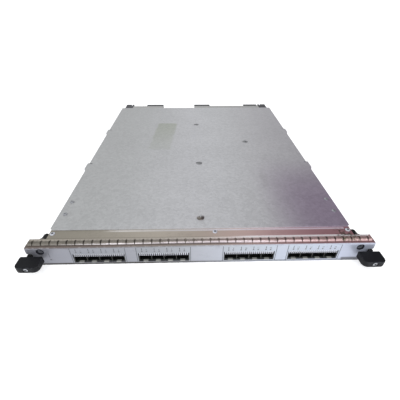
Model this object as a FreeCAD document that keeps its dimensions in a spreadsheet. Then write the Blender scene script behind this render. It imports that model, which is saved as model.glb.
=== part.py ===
import FreeCAD, Part
import math
import operator
import os

import Sketcher

# A sixteen-port switch line card: a folded sheet-metal tray and cover round one circuit board, with
# a gasketed faceplate, four ganged cages for small pluggable optics, two ejector levers, two captive
# screws and the backplane connectors at the rear.
#
# Axes: +X to the right seen from the faceplate, +Y from the faceplate to the backplane, +Z up.
# Lengths along Y are measured from the front plane of the faceplate, and every piece is placed so
# that the origin lies at the middle of the underside of the whole card.

DOC = FreeCAD.newDocument("switch_line_card")
SHEET = DOC.addObject("Spreadsheet::Sheet", "Sizes")

SIZES = {
    # whole card
    "card_length": 500.0,
    "plate_width": 396.0,
    "tray_inset": 18.8,
    # faceplate
    "plate_height": 27.6,
    "plate_sheet": 1.5,
    "plate_bend": 2.2,
    "lip_depth": 14.5,
    "flange_depth": 34.0,
    # tray
    "tray_sheet": 1.0,
    "tray_setback": 10.0,
    "wall_start": 20.3,
    "wall_step_gap": 1.5,
    "wall_setback": 34.0,
    "return_width": 10.0,
    "front_lip": 3.4,
    "boss_radius": 3.5,
    "boss_height": 1.0,
    "vent_width": 4.0,
    "vent_height": 10.0,
    "vent_base": 10.0,
    "vent_pitch": 9.0,
    "vent_start": 60.0,
    "vent_margin": 10.0,
    # cover
    "cover_sheet": 1.2,
    "cover_overhang": 1.3,
    "cover_start": 28.2,
    "cover_setback": 32.5,
    "cover_skirt": 6.0,
    "skirt_start": 62.0,
    "cover_corner": 3.0,
    "ear_reach": 3.0,
    "ear_lead": 7.0,
    "ear_length": 25.5,
    "ear_front": 165.5,
    "ear_rear": 307.5,
    "ear_slot": 3.0,
    "ear_slot_width": 4.0,
    "ear_root": 1.0,
    "dimple_radius": 5.2,
    "dimple_depth": 1.2,
    # board
    "board_gap": 5.2,
    "board_sheet": 2.0,
    "board_start": 3.2,
    "board_setback": 12.0,
    "board_screw_inset": 10.0,
    "board_screw_front": 70.0,
    "board_screw_middle": 250.0,
    "board_screw_rear": 70.0,
    # cages
    "port_pitch": 14.25,
    "port_count": 4,
    "port_height": 8.6,
    "group_1_x": -118.2,
    "group_2_x": -44.2,
    "group_3_x": 54.5,
    "group_4_x": 129.0,
    "cage_sheet": 0.35,
    "cage_start": 0.3,
    "cage_depth": 48.0,
    "tongue_width": 5.9,
    "tongue_depth": 3.0,
    "window_margin": 0.65,
    "window_low": 3.5,
    "window_high": 16.9,
    "host_width": 10.6,
    "host_depth": 11.0,
    "host_height": 5.6,
    "host_wall": 1.0,
    "host_slot": 1.2,
    "host_slot_level": 3.5,
    "host_slot_depth": 5.5,
    "host_step": 2.2,
    "gasket_sheet": 0.25,
    "gasket_depth": 3.9,
    "gasket_pitch": 2.375,
    "gasket_slit": 0.65,
    "gasket_slit_depth": 2.4,
    "gasket_count": 24,
    # light pipes
    "pipe_left": -3.0,
    "pipe_right": 2.3,
    "pipe_tip": 1.5,
    "pipe_level": 20.0,
    "pipe_bar": 3.0,
    "pipe_setback": 4.4,
    "pipe_inset": 2.0,
    "status_inset": 6.0,
    "status_level": 8.9,
    "status_radius": 1.1,
    "status_collar": 0.5,
    # finger gasket along the top of the faceplate
    "finger_pitch": 9.525,
    "finger_slit": 0.9,
    "finger_sheet": 0.35,
    "finger_start": 3.8,
    "finger_span": 8.0,
    "finger_rise": 3.0,
    "finger_foot": 2.0,
    "relief_width": 0.6,
    "relief_start": 5.0,
    # ejectors, given for the right-hand side and mirrored for the left
    "pivot_reach": 11.4,
    "pivot_y": 22.0,
    "pivot_radius": 2.0,
    "pivot_head": 1.4,
    "lever_base": 10.0,
    "lever_height": 8.0,
    "arm_reach": 1.6,
    "arm_width": 4.4,
    "claw_reach": 2.8,
    "blade_reach": 6.6,
    "blade_width": 14.0,
    "blade_height": 4.0,
    "blade_depth": 15.4,
    "tail_reach": 4.4,
    "tail_width": 5.6,
    "tail_length": 12.2,
    "tail_swell": 1.2,
    "grip_inner_reach": 12.1,
    "grip_width": 25.5,
    "grip_reach": 20.0,
    "grip_setback": 3.0,
    "grip_corner": 6.0,
    "grip_rear_corner": 1.6,
    "grip_edge": 0.9,
    "grip_screw_offset": 0.9,
    "grip_screw_length": 9.0,
    "screw_sink": 1.5,
    "notch_gap": 0.4,
    "bracket_sheet": 1.2,
    "bracket_start": 17.0,
    "bracket_end": 44.0,
    "bracket_low": 1.5,
    "bracket_margin": 5.5,
    "bracket_corner": 4.0,
    "rivet_radius": 1.2,
    "rivet_head": 0.9,
    "rivet_front": 8.0,
    "rivet_rear": 5.0,
    # captive screws
    "captive_reach": 2.8,
    "captive_level": 21.5,
    "captive_radius": 1.75,
    "captive_head": 3.1,
    "captive_neck": 1.35,
    "captive_tip": 20.0,
    "captive_sink": 0.8,
    "captive_head_length": 4.4,
    "sleeve_radius": 3.9,
    "sleeve_length": 8.0,
    "sleeve_web": 1.4,
    "sleeve_rim": 0.5,
    # small screws and pillars
    "screw_radius": 1.45,
    "screw_length": 6.0,
    "pan_head_radius": 2.8,
    "pan_head_height": 1.4,
    "middle_head_radius": 4.5,
    "dome_radius": 4.8,
    "dome_height": 2.2,
    "board_head_height": 1.2,
    "pillar_radius": 3.0,
    "edge_screw_inset": 6.5,
    "edge_screw_front": 57.9,
    "edge_screw_rear": 83.7,
    "flange_screw_inset": 4.2,
    "flange_screw_y": 22.5,
    "flange_pillar_x": 15.7,
    "cover_screw_1_x": -1.9,
    "cover_screw_1_y": 357.8,
    "cover_screw_2_x": 89.8,
    "cover_screw_2_y": 270.3,
    "cover_screw_3_x": 0.4,
    "cover_screw_3_y": 188.1,
    "dome_screw_x": -0.8,
    "dome_screw_y": 47.8,
    "running_gap": 0.08,
    "free_gap": 0.05,
    # rear
    "stiffener_setback": 38.0,
    "stiffener_inset": 12.2,
    "stiffener_sheet": 1.2,
    "stiffener_foot": 10.0,
    "stiffener_screw_outer": 150.0,
    "stiffener_screw_left": -60.0,
    "stiffener_screw_right": 90.0,
    "hood_setback": 15.0,
    "hood_inset": 23.2,
    "hood_gap_left": -83.0,
    "hood_gap_right": -5.0,
    "connector_depth": 35.0,
    "connector_height": 22.3,
    "connector_slope": 9.0,
    "connector_lead": 7.0,
    "connector_1_left": -124.0,
    "connector_1_width": 41.0,
    "connector_2_left": -5.0,
    "connector_2_width": 39.0,
    "connector_3_left": 120.5,
    "connector_3_width": 33.5,
    "contact_pitch": 3.0,
    "contact_slot": 1.2,
    "contact_depth": 6.0,
    "contact_rail": 2.2,
    "guide_inset": 4.3,
    "guide_width": 17.8,
    "guide_depth": 31.5,
    "guide_height": 23.4,
    "guide_chamfer": 2.0,
    "guide_bore": 3.6,
    "guide_bore_depth": 26.0,
    "guide_bore_level": 14.0,
    "guide_groove_x": 3.0,
    "guide_groove": 3.0,
    "guide_groove_length": 10.0,
    "guide_groove_depth": 4.0,
    # parts on the board
    "processor_1_x": -80.0,
    "processor_1_y": 270.0,
    "processor_2_x": 75.0,
    "processor_2_y": 160.0,
    "package_side": 42.5,
    "package_height": 3.2,
    "sink_length": 86.0,
    "sink_width": 70.0,
    "sink_base": 2.5,
    "sink_height": 15.0,
    "fin_pitch": 5.0,
    "fin_sheet": 1.2,
    "fin_count": 14,
    "memory_length": 14.0,
    "memory_width": 9.0,
    "memory_height": 1.1,
    "memory_pitch": 24.0,
    "memory_gap": 16.5,
    "power_gap": 36.6,
    "power_1_x": -110.0,
    "power_2_x": 20.0,
    "power_3_x": 110.0,
    "power_length": 57.9,
    "power_width": 36.8,
    "power_height": 12.7,
    "can_radius": 5.0,
    "can_height": 12.5,
    "can_pitch": 14.0,
    "can_inset": 44.0,
    "can_gap": 16.6,
}

DIRECTIONS = {
    "X": FreeCAD.Vector(1, 0, 0),
    "Y": FreeCAD.Vector(0, 1, 0),
    "Z": FreeCAD.Vector(0, 0, 1),
}
OPERATIONS = {"+": operator.add, "-": operator.sub, "*": operator.mul, "/": operator.truediv}


class Size:
    """A length that carries its spreadsheet formula, so one cell drives both number and model."""

    def __init__(self, value, formula):
        self.value = value
        self.formula = formula

    def __add__(self, other):
        return combine(self, "+", other)

    def __radd__(self, other):
        return combine(other, "+", self)

    def __sub__(self, other):
        return combine(self, "-", other)

    def __rsub__(self, other):
        return combine(other, "-", self)

    def __mul__(self, other):
        return combine(self, "*", other)

    def __rmul__(self, other):
        return combine(other, "*", self)

    def __truediv__(self, other):
        return combine(self, "/", other)

    def __neg__(self):
        return combine(0, "-", self)


def as_size(number):
    """A plain number or a Size, always given back as a Size."""
    if isinstance(number, Size):
        return number
    return Size(float(number), f"({float(number)})")


def combine(left, sign, right):
    """The sum, difference, product or quotient of two sizes."""
    left = as_size(left)
    right = as_size(right)
    value = OPERATIONS[sign](left.value, right.value)
    return Size(value, f"({left.formula} {sign} {right.formula})")


def root(size):
    """The square root of a size."""
    return Size(math.sqrt(size.value), f"sqrt({size.formula})")


def whole(size):
    """The whole number of times that a length fits."""
    return Size(math.floor(size.value), f"floor({size.formula})")


def fill_sheet():
    """Write every driving size to the spreadsheet and give it its alias."""
    for row, (name, number) in enumerate(SIZES.items(), start=1):
        SHEET.set(f"A{row}", name)
        SHEET.set(f"B{row}", str(number))
        SHEET.setAlias(f"B{row}", name)
    DOC.recompute()


class Dimensions:
    """The driving sizes as attributes, such as d.plate_width."""

    def __getattr__(self, name):
        return Size(float(SIZES[name]), f"Sizes.{name}")


fill_sheet()
d = Dimensions()
SUB_PARTS = []

# Levels and places that several pieces share.
FRONT = -(d.card_length - d.grip_reach) / 2
TRAY_HALF = d.plate_width / 2 - d.tray_inset
TRAY_END = d.card_length - d.tray_setback
WALL_STEP = d.flange_depth + d.wall_step_gap
WALL_END = d.card_length - d.wall_setback
FLANGE_UNDER = d.plate_height - d.plate_sheet
COVER_UNDER = d.plate_height
COVER_TOP = COVER_UNDER + d.cover_sheet
COVER_HALF = TRAY_HALF + d.cover_overhang
COVER_END = d.card_length - d.cover_setback
BOARD_HALF = TRAY_HALF - d.board_gap
BOARD_END = d.card_length - d.board_setback
BOARD_UNDER = d.tray_sheet + d.boss_height
BOARD_TOP = BOARD_UNDER + d.board_sheet
CAGE_HALF = d.port_pitch * d.port_count / 2 + d.cage_sheet / 2
CAGE_FLOOR = BOARD_TOP + d.cage_sheet
CAGE_TOP = CAGE_FLOOR + d.port_height + d.cage_sheet
CAGE_END = d.cage_start + d.cage_depth
FIRST_PORT = -d.port_pitch * (d.port_count - 1) / 2
SCREW_HOLE = d.screw_radius + d.free_gap
LEVER_TOP = d.lever_base + d.lever_height
PIVOT_X = TRAY_HALF + d.pivot_reach
ARM_INNER = PIVOT_X + d.arm_reach
BLADE_INNER = PIVOT_X - d.blade_reach
GRIP_SCREW_X = PIVOT_X + d.grip_screw_offset
BRACKET_TOP = d.lever_base - d.notch_gap
RIVET_LEVEL = (d.bracket_low + d.lever_base) / 2
RIVET_PLACES = [d.bracket_start + d.rivet_front, d.bracket_end - d.rivet_rear]
CAPTIVE_X = TRAY_HALF + d.captive_reach
STATUS_X = d.status_inset - TRAY_HALF
STIFFENER_Y = d.card_length - d.stiffener_setback
POWER_Y = d.card_length - d.connector_depth - d.power_gap - d.power_width / 2
CAN_Y = POWER_Y - d.power_width / 2 - d.can_gap - d.can_radius
GROUPS = [(number, getattr(d, f"group_{number}_x")) for number in range(1, 5)]
BOARD_SCREWS = [(x * (BOARD_HALF - d.board_screw_inset), y) for x in (-1, 1)
                for y in (d.board_screw_front, d.board_screw_middle, d.card_length - d.board_screw_rear)]
STIFFENER_SCREWS = [(x, STIFFENER_Y - d.stiffener_foot / 2)
                    for x in (-d.stiffener_screw_outer, d.stiffener_screw_left,
                              d.stiffener_screw_right, d.stiffener_screw_outer)]
COVER_SCREWS = [(getattr(d, f"cover_screw_{number}_x"), getattr(d, f"cover_screw_{number}_y"))
                for number in range(1, 4)]
DOME_SCREW = (d.dome_screw_x, d.dome_screw_y)
EDGE_SCREWS = [(x * (TRAY_HALF - d.edge_screw_inset), y) for x in (-1, 1)
               for y in (d.edge_screw_front, d.edge_screw_rear)]
FLANGE_SCREWS = [(d.flange_screw_inset - TRAY_HALF, d.flange_screw_y),
                 (d.flange_pillar_x, d.flange_screw_y),
                 (TRAY_HALF - d.flange_screw_inset, d.flange_screw_y)]


def bind(thing, name, size):
    """Bind one property of an object to a size."""
    thing.setExpression(name, as_size(size).formula)


def place(thing, x, y, z, rotation=None):
    """Place an object, with y measured from the front plane of the faceplate."""
    thing.Placement = FreeCAD.Placement(FreeCAD.Vector(), rotation or FreeCAD.Rotation())
    bind(thing, "Placement.Base.x", x)
    bind(thing, "Placement.Base.y", FRONT + y)
    bind(thing, "Placement.Base.z", z)


def keep(thing, label):
    """Name a finished sub-part and list it for export."""
    thing.Label = label
    SUB_PARTS.append(thing)
    return thing


def arc_between(start, end, radius):
    """The short arc between two points; its centre is on the left of travel if radius is positive."""
    half = (end - start) * 0.5
    rise = math.sqrt(max(radius * radius - half.Length ** 2, 0.0))
    left = FreeCAD.Vector(-half.y, half.x, 0).normalize()
    centre = start + half + left * math.copysign(rise, radius)
    first, last = (start, end) if radius > 0 else (end, start)
    angles = [math.atan2(point.y - centre.y, point.x - centre.x) for point in (first, last)]
    circle = Part.Circle(centre, FreeCAD.Vector(0, 0, 1), abs(radius))
    return Part.ArcOfCircle(circle, *angles)


class Piece:
    """One PartDesign body, built feature by feature."""

    def __init__(self, label, x=0, y=0, z=0, rotation=None):
        self.label = label
        self.body = DOC.addObject("PartDesign::Body", label)
        place(self.body, x, y, z, rotation)

    def origin(self, role):
        """An origin plane or axis of this body."""
        return next(item for item in self.body.Origin.OriginFeatures if item.Role == role)

    def feature(self, kind):
        """A new PartDesign feature at the end of this body."""
        return self.body.newObject(f"PartDesign::{kind}", f"{self.label}_{kind}")

    def sketch(self, plane, corners, offset=0):
        """A closed outline; a corner with a third value starts an arc of that radius."""
        sketch = self.body.newObject("Sketcher::SketchObject", f"{self.label}_sketch")
        sketch.AttachmentSupport = [(self.origin(f"{plane}_Plane"), "")]
        sketch.MapMode = "FlatFace"
        bind(sketch, "AttachmentOffset.Base.z", offset)
        points = [FreeCAD.Vector(as_size(c[0]).value, as_size(c[1]).value, 0) for c in corners]
        ends = []
        for index, corner in enumerate(corners):
            start, end = points[index], points[(index + 1) % len(points)]
            if len(corner) == 3:
                radius = as_size(corner[2])
                number = sketch.addGeometry(arc_between(start, end, radius.value), False)
                ends.append((number, 1, 2) if radius.value > 0 else (number, 2, 1))
            else:
                number = sketch.addGeometry(Part.LineSegment(start, end), False)
                ends.append((number, 1, 2))
        for index, (number, _, last) in enumerate(ends):
            following = ends[(index + 1) % len(ends)]
            joint = Sketcher.Constraint("Coincident", number, last, following[0], following[1])
            sketch.addConstraint(joint)
        for corner, point, (number, first, _) in zip(corners, points, ends):
            self.drive(sketch, Sketcher.Constraint("DistanceX", number, first, point.x), corner[0])
            self.drive(sketch, Sketcher.Constraint("DistanceY", number, first, point.y), corner[1])
            if len(corner) == 3:
                radius = as_size(corner[2])
                size = radius if radius.value > 0 else -radius
                self.drive(sketch, Sketcher.Constraint("Radius", number, size.value), size)
        return sketch

    @staticmethod
    def drive(sketch, constraint, size):
        """Add one constraint and bind its value to a size."""
        number = sketch.addConstraint(constraint)
        bind(sketch, f"Constraints[{number}]", size)

    def pad(self, plane, corners, length, offset=0, symmetric=False):
        """Pad an outline along +X, +Y or +Z, from offset along that axis."""
        along_y = plane == "XZ"
        sketch = self.sketch(plane, corners, -as_size(offset) if along_y else offset)
        pad = self.feature("Pad")
        pad.Profile = sketch
        pad.Midplane = symmetric
        pad.Reversed = along_y and not symmetric
        bind(pad, "Length", length)
        return pad

    def turn(self, corners):
        """Revolve an outline of (radius, height) corners about Z."""
        turned = self.feature("Revolution")
        turned.Profile = self.sketch("XZ", corners)
        turned.ReferenceAxis = (turned.Profile[0], ["V_Axis"])
        turned.Angle = 360
        return turned

    def block(self, kind, x, y, z):
        """Add or cut a box between two values on each axis."""
        box = self.feature(f"{kind}Box")
        for name, axis, (low, high) in (("Length", "x", x), ("Width", "y", y), ("Height", "z", z)):
            bind(box, name, as_size(high) - low)
            bind(box, f"Placement.Base.{axis}", low)
        return box

    def drum(self, kind, centre, radius, length, axis="Z"):
        """Add or cut a cylinder that runs from centre along +axis."""
        drum = self.feature(f"{kind}Cylinder")
        turn = FreeCAD.Rotation(DIRECTIONS["Z"], DIRECTIONS[axis])
        drum.Placement = FreeCAD.Placement(FreeCAD.Vector(), turn)
        bind(drum, "Radius", radius)
        bind(drum, "Height", length)
        for name, size in zip("xyz", centre):
            bind(drum, f"Placement.Base.{name}", size)
        return drum

    def repeat(self, features, axis, pitch, count):
        """Repeat features along an axis at a fixed pitch."""
        DOC.recompute()
        pattern = self.feature("LinearPattern")
        pattern.Originals = features
        pattern.Direction = (self.origin(f"{axis}_Axis"), [""])
        pattern.Mode = "Spacing"
        bind(pattern, "Offset", pitch)
        bind(pattern, "Occurrences", count)
        self.body.Tip = pattern
        return pattern

    def round_edges(self, radius, chosen):
        """Fillet the edges of the body so far for which chosen(edge) is true."""
        DOC.recompute()
        base = self.body.Tip
        edges = enumerate(base.Shape.Edges, start=1)
        names = [f"Edge{number}" for number, edge in edges if chosen(edge)]
        fillet = self.feature("Fillet")
        fillet.Base = (base, names)
        bind(fillet, "Radius", radius)
        return fillet

    def done(self):
        """Keep this body as a sub-part."""
        return keep(self.body, self.label)


def rectangle(left, right, low, high):
    """The corners of a rectangle."""
    return [(left, low), (right, low), (right, high), (left, high)]


def rounded(left, right, low, high, low_radius, high_radius):
    """A rectangle with one radius at its two low corners and another at its two high ones."""
    return [(left + low_radius, low), (right - low_radius, low, low_radius),
            (right, low + low_radius), (right, high - high_radius, high_radius),
            (right - high_radius, high), (left + high_radius, high, high_radius),
            (left, high - high_radius), (left, low + low_radius, low_radius)]


def group(label, items):
    """Several separate solids of one kind, kept as one sub-part."""
    compound = DOC.addObject("Part::Compound", label)
    compound.Links = items
    return keep(compound, label)


def copies(label, pattern_piece, places, rotation=None):
    """Copies of one body at several places, kept as one sub-part."""
    links = []
    for x, y, z in places:
        link = DOC.addObject("App::Link", f"{label}_copy")
        link.LinkedObject = pattern_piece.body
        place(link, x, y, z, rotation)
        links.append(link)
    return group(label, links)


def mirror_left(right_piece, label):
    """The left-hand twin of a right-hand sub-part."""
    mirrored = DOC.addObject("Part::Mirroring", label)
    mirrored.Source = right_piece
    mirrored.Normal = DIRECTIONS["X"]
    return keep(mirrored, label)


def plain_box(name, x, y, z, size_x, size_y, size_z):
    """A box centred on x and y that stands on z."""
    box = DOC.addObject("Part::Box", name)
    bind(box, "Length", size_x)
    bind(box, "Width", size_y)
    bind(box, "Height", size_z)
    place(box, x - as_size(size_x) / 2, y - as_size(size_y) / 2, z)
    return box


def channel(height):
    """The section of the tray: a floor, two walls and their inward returns."""
    out, sheet, turn = TRAY_HALF, d.tray_sheet, d.return_width
    right = [(out, 0), (out, height), (out - turn, height), (out - turn, height - sheet),
             (out - sheet, height - sheet), (out - sheet, sheet)]
    return right + [(-x, z) for x, z in reversed(right)]


def make_tray():
    """The base tray, folded from one sheet, with board bosses and side vents."""
    tray = Piece("base_pan")
    out, sheet = TRAY_HALF, d.tray_sheet
    tray.pad("XY", rectangle(-out, out, d.plate_sheet, TRAY_END), sheet)
    tray.pad("XZ", channel(FLANGE_UNDER), WALL_STEP - d.wall_start, d.wall_start)
    tray.pad("XZ", channel(COVER_UNDER), WALL_END - WALL_STEP, WALL_STEP)
    tray.block("Additive", (-out, out), (d.plate_sheet, d.plate_sheet + sheet), (0, d.front_lip))
    for x, y in BOARD_SCREWS + STIFFENER_SCREWS:
        tray.drum("Additive", (x, y, 0), d.boss_radius, BOARD_UNDER)
        tray.drum("Subtractive", (x, y, -1), SCREW_HOLE, BOARD_UNDER + 2)
    vent = tray.block("Subtractive", (-out - 1, out + 1), (d.vent_start, d.vent_start + d.vent_width),
                      (d.vent_base, d.vent_base + d.vent_height))
    vents = whole((WALL_END - d.vent_margin - d.vent_start) / d.vent_pitch)
    tray.repeat([vent], "Y", d.vent_pitch, vents)
    for x, y in EDGE_SCREWS + [FLANGE_SCREWS[0], FLANGE_SCREWS[2]]:
        tray.drum("Subtractive", (x, y, d.plate_height / 2), SCREW_HOLE, d.plate_height)
    for y in RIVET_PLACES:
        tray.drum("Subtractive", (-out - 1, y, RIVET_LEVEL), d.rivet_radius, out * 2 + 2, "X")
    tray.done()


def make_cover():
    """The top cover, with side skirts, four side ears and dimples for its middle screws."""
    cover = Piece("top_cover")
    half, sheet = COVER_HALF, d.cover_sheet
    top = [(half - d.cover_corner, d.cover_start), (half, d.cover_start + d.cover_corner),
           (half, COVER_END)]
    outline = top + [(-x, y) for x, y in reversed(top)]
    cover.pad("XY", outline, sheet, COVER_UNDER)
    skirt_low = COVER_UNDER - d.cover_skirt
    for side in (-1, 1):
        edges = (side * half, side * (half - sheet))
        inner, outer = (edges[0], edges[1]) if side < 0 else (edges[1], edges[0])
        cover.block("Additive", (inner, outer), (d.skirt_start, COVER_END), (skirt_low, COVER_TOP))
        for start in (d.ear_front, d.ear_rear):
            add_ear(cover, side, start)
    for x, y in COVER_SCREWS:
        under = COVER_UNDER - d.dimple_depth
        cover.drum("Additive", (x, y, under), d.dimple_radius + sheet, d.dimple_depth + sheet)
        cover.drum("Subtractive", (x, y, under + sheet), d.dimple_radius, d.dimple_depth + sheet)
    for x, y in COVER_SCREWS + [DOME_SCREW] + EDGE_SCREWS:
        cover.drum("Subtractive", (x, y, COVER_UNDER - d.dimple_depth - 1), SCREW_HOLE,
                   d.dimple_depth + d.cover_sheet + 2)
    cover.done()


def add_ear(cover, side, start):
    """A guide ear lanced outwards from the edge of the cover, with the slot behind its root."""
    edge = COVER_HALF - d.ear_root
    reach = COVER_HALF + d.ear_reach
    end = start + d.ear_length
    corners = [(side * edge, start), (side * COVER_HALF, start), (side * reach, start + d.ear_lead),
               (side * reach, end), (side * edge, end)]
    cover.pad("XY", corners, d.cover_sheet, COVER_UNDER)
    slot = sorted((side * (edge - d.ear_slot_width), side * edge), key=lambda size: size.value)
    cover.block("Subtractive", slot, (end - d.ear_slot, end), (COVER_UNDER - 1, COVER_TOP + 1))


def make_faceplate():
    """The faceplate: a folded sheet with port windows, ejector notches and a rear top flange."""
    plate = Piece("faceplate")
    height, sheet, bend = d.plate_height, d.plate_sheet, d.plate_bend
    half = d.plate_width / 2
    inner_bend = bend - sheet
    section = [(0, 0), (sheet, 0), (sheet, height - bend, -inner_bend), (bend, height - sheet),
               (d.flange_depth, height - sheet), (d.flange_depth, height), (bend, height, bend),
               (0, height - bend)]
    plate.pad("YZ", section, d.plate_width, symmetric=True)
    for side in (-1, 1):
        strip = sorted((side * TRAY_HALF, side * (half + 1)), key=lambda size: size.value)
        plate.block("Subtractive", strip, (d.lip_depth, d.flange_depth + 1), (0, height + 1))
        notch = sorted((side * (ARM_INNER - d.notch_gap), side * (half + 1)), key=lambda s: s.value)
        levels = (d.lever_base - d.notch_gap, LEVER_TOP + d.notch_gap)
        plate.block("Subtractive", notch, (-1, sheet + 1), levels)
        captive = (side * CAPTIVE_X, -1, d.captive_level)
        plate.drum("Subtractive", captive, d.sleeve_radius + d.free_gap, sheet + 2, "Y")
    for _, centre in GROUPS:
        wide = CAGE_HALF + d.window_margin
        plate.block("Subtractive", (centre - wide, centre + wide), (-1, sheet + 1),
                    (d.window_low, d.window_high))
        for offset in (d.pipe_left, d.pipe_right):
            first = centre + FIRST_PORT + offset
            reach = d.pipe_tip / 2 + d.free_gap
            hole = plate.block("Subtractive", (first - reach, first + reach), (-1, sheet + 1),
                               (d.pipe_level - reach, d.pipe_level + reach))
            plate.repeat([hole], "X", d.port_pitch, d.port_count)
    plate.drum("Subtractive", (STATUS_X, -1, d.status_level), d.status_radius + d.free_gap,
               sheet + 2, "Y")
    for x, y in FLANGE_SCREWS:
        plate.drum("Subtractive", (x, y, height - sheet - 1), SCREW_HOLE, sheet + 2)
    plate.done()


def finger_arch(span, rise, inset, base):
    """Points of a finger's arch, pressed flat at its crown, drawn inset from the outer face."""
    shape = ((0, 0), (0.06, 0.42), (0.22, 0.86), (0.42, 1), (0.58, 1), (0.80, 0.80), (0.95, 0.34), (1, 0))
    half = span / 2
    return [(half + (half - inset) * (2 * along - 1), base + (rise - inset - base) * up)
            for along, up in shape]


def make_finger_strip():
    """The contact-finger gasket: an arched spring strip slit into fingers, on the top flange."""
    strip = Piece("emi_finger_strip", 0, d.finger_start, d.plate_height)
    sheet, span, rise = d.finger_sheet, d.finger_span, d.finger_rise
    foot = span + d.finger_foot
    outer = finger_arch(span, rise, 0, 0)
    inner = finger_arch(span, rise, sheet, 0)
    arch = outer[:-1] + [(span, sheet), (foot, sheet), (foot, 0)] + inner[::-1]
    count = whole(d.plate_width / d.finger_pitch)
    length = d.finger_pitch * count
    strip.pad("YZ", arch, length, symmetric=True)
    first = (d.finger_pitch - length) / 2
    slit = strip.block("Subtractive", (first - d.finger_slit / 2, first + d.finger_slit / 2),
                       (-1, span - sheet), (-1, rise + 1))
    strip.repeat([slit], "X", d.finger_pitch, count)
    middle = first + d.finger_pitch / 2
    relief = strip.block("Subtractive", (middle - d.relief_width / 2, middle + d.relief_width / 2),
                         (d.relief_start, span - sheet), (-1, rise + 1))
    strip.repeat([relief], "X", d.finger_pitch, count - 1)
    strip.done()


def make_board():
    """The circuit board, on the bosses of the tray."""
    board = Piece("main_board")
    outline = rectangle(-BOARD_HALF, BOARD_HALF, d.board_start, BOARD_END)
    board.pad("XY", outline, d.board_sheet, BOARD_UNDER)
    for x, y in BOARD_SCREWS + STIFFENER_SCREWS:
        board.drum("Subtractive", (x, y, 0), SCREW_HOLE, BOARD_TOP + 1)
    board.done()


def make_cage(number, centre):
    """A ganged cage: one folded shell with a tunnel, a latch tongue and a host window per port."""
    cage = Piece(f"sfp_cage_{number}", centre)
    start, end, sheet = d.cage_start, CAGE_END, d.cage_sheet
    cage.block("Additive", (-CAGE_HALF, CAGE_HALF), (start, end), (BOARD_TOP, CAGE_TOP))
    port = FIRST_PORT
    clear = (d.port_pitch - sheet) / 2
    tunnel = cage.block("Subtractive", (port - clear, port + clear), (start - 1, end - sheet),
                        (CAGE_FLOOR, CAGE_TOP - sheet))
    host = d.host_width / 2 + d.notch_gap / 2
    window = cage.block("Subtractive", (port - host, port + host),
                        (end - sheet - d.host_depth - 1, end - sheet), (BOARD_TOP - 1, CAGE_FLOOR + 1))
    left = cage.block("Subtractive", (port - clear, port - d.tongue_width / 2),
                      (start - 1, start + d.tongue_depth), (BOARD_TOP - 1, CAGE_FLOOR + 1))
    right = cage.block("Subtractive", (port + d.tongue_width / 2, port + clear),
                       (start - 1, start + d.tongue_depth), (BOARD_TOP - 1, CAGE_FLOOR + 1))
    cage.repeat([tunnel, window, left, right], "X", d.port_pitch, d.port_count)
    cage.done()


def make_host_connectors(number, centre):
    """The edge connectors inside one cage, each with the slot that takes a module's edge card."""
    host = Piece(f"host_pattern_{number}")
    half, depth, level = d.host_width / 2, d.host_depth, d.host_slot_level
    host.block("Additive", (-half, half), (0, depth), (0, d.host_height))
    host.block("Subtractive", (d.host_wall - half, half - d.host_wall), (-1, d.host_slot_depth),
               (level - d.host_slot / 2, level + d.host_slot / 2))
    host.block("Subtractive", (-half - 1, half + 1), (-1, d.host_step),
               (-1, level - d.host_slot / 2 - d.host_wall))
    start = CAGE_END - d.cage_sheet - depth
    places = [(centre + FIRST_PORT + d.port_pitch * index, start, BOARD_TOP)
              for index in range(SIZES["port_count"])]
    copies(f"host_connectors_{number}", host, places)


def make_cage_gasket(number, centre):
    """The row of small spring fingers between the roof of a cage and the faceplate."""
    gasket = Piece(f"cage_gasket_{number}", centre, d.cage_start, CAGE_TOP)
    sheet = d.gasket_sheet
    crown = d.window_high - CAGE_TOP - d.notch_gap / 2
    deep = d.gasket_depth
    section = [(deep, 0), (deep * 0.54, 0), (deep * 0.24, crown - sheet * 1.6), (deep * 0.08, crown * 0.35),
               (deep * 0.01, crown * 0.42), (deep * 0.23, crown), (deep * 0.58, sheet), (deep, sheet)]
    wide = d.gasket_pitch * d.gasket_count - d.gasket_slit
    gasket.pad("YZ", section, wide, symmetric=True)
    first = d.gasket_pitch - d.gasket_pitch * d.gasket_count / 2
    slit = gasket.block("Subtractive", (first - d.gasket_slit / 2, first + d.gasket_slit / 2),
                        (-1, d.gasket_slit_depth), (-1, crown + 1))
    gasket.repeat([slit], "X", d.gasket_pitch, d.gasket_count - 1)
    gasket.done()


def make_light_pipe(number, centre):
    """The clear bar on a cage that carries two indicator tips per port to the faceplate."""
    pipe = Piece(f"light_pipe_{number}", centre)
    tip = d.pipe_tip / 2
    reach = CAGE_HALF - d.pipe_inset
    pipe.block("Additive", (-reach, reach), (d.pipe_setback, d.pipe_setback + d.pipe_bar),
               (CAGE_TOP, d.pipe_level + tip))
    tips = []
    for offset in (d.pipe_left, d.pipe_right):
        middle = FIRST_PORT + offset
        tips.append(pipe.block("Additive", (middle - tip, middle + tip), (0, d.pipe_setback + 1),
                               (d.pipe_level - tip, d.pipe_level + tip)))
    pipe.repeat(tips, "X", d.port_pitch, d.port_count)
    pipe.done()


def make_status_lens():
    """The round status lens at the left end of the faceplate."""
    long = d.plate_sheet * 2
    lens = Piece("status_lens", STATUS_X, long, d.status_level, FreeCAD.Rotation(DIRECTIONS["X"], 90))
    radius, collar = d.status_radius, d.status_radius + d.status_collar
    lens.turn([(0, 0), (collar, 0), (collar, d.plate_sheet), (radius, d.plate_sheet), (radius, long),
               (0, long)])
    lens.done()


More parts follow.
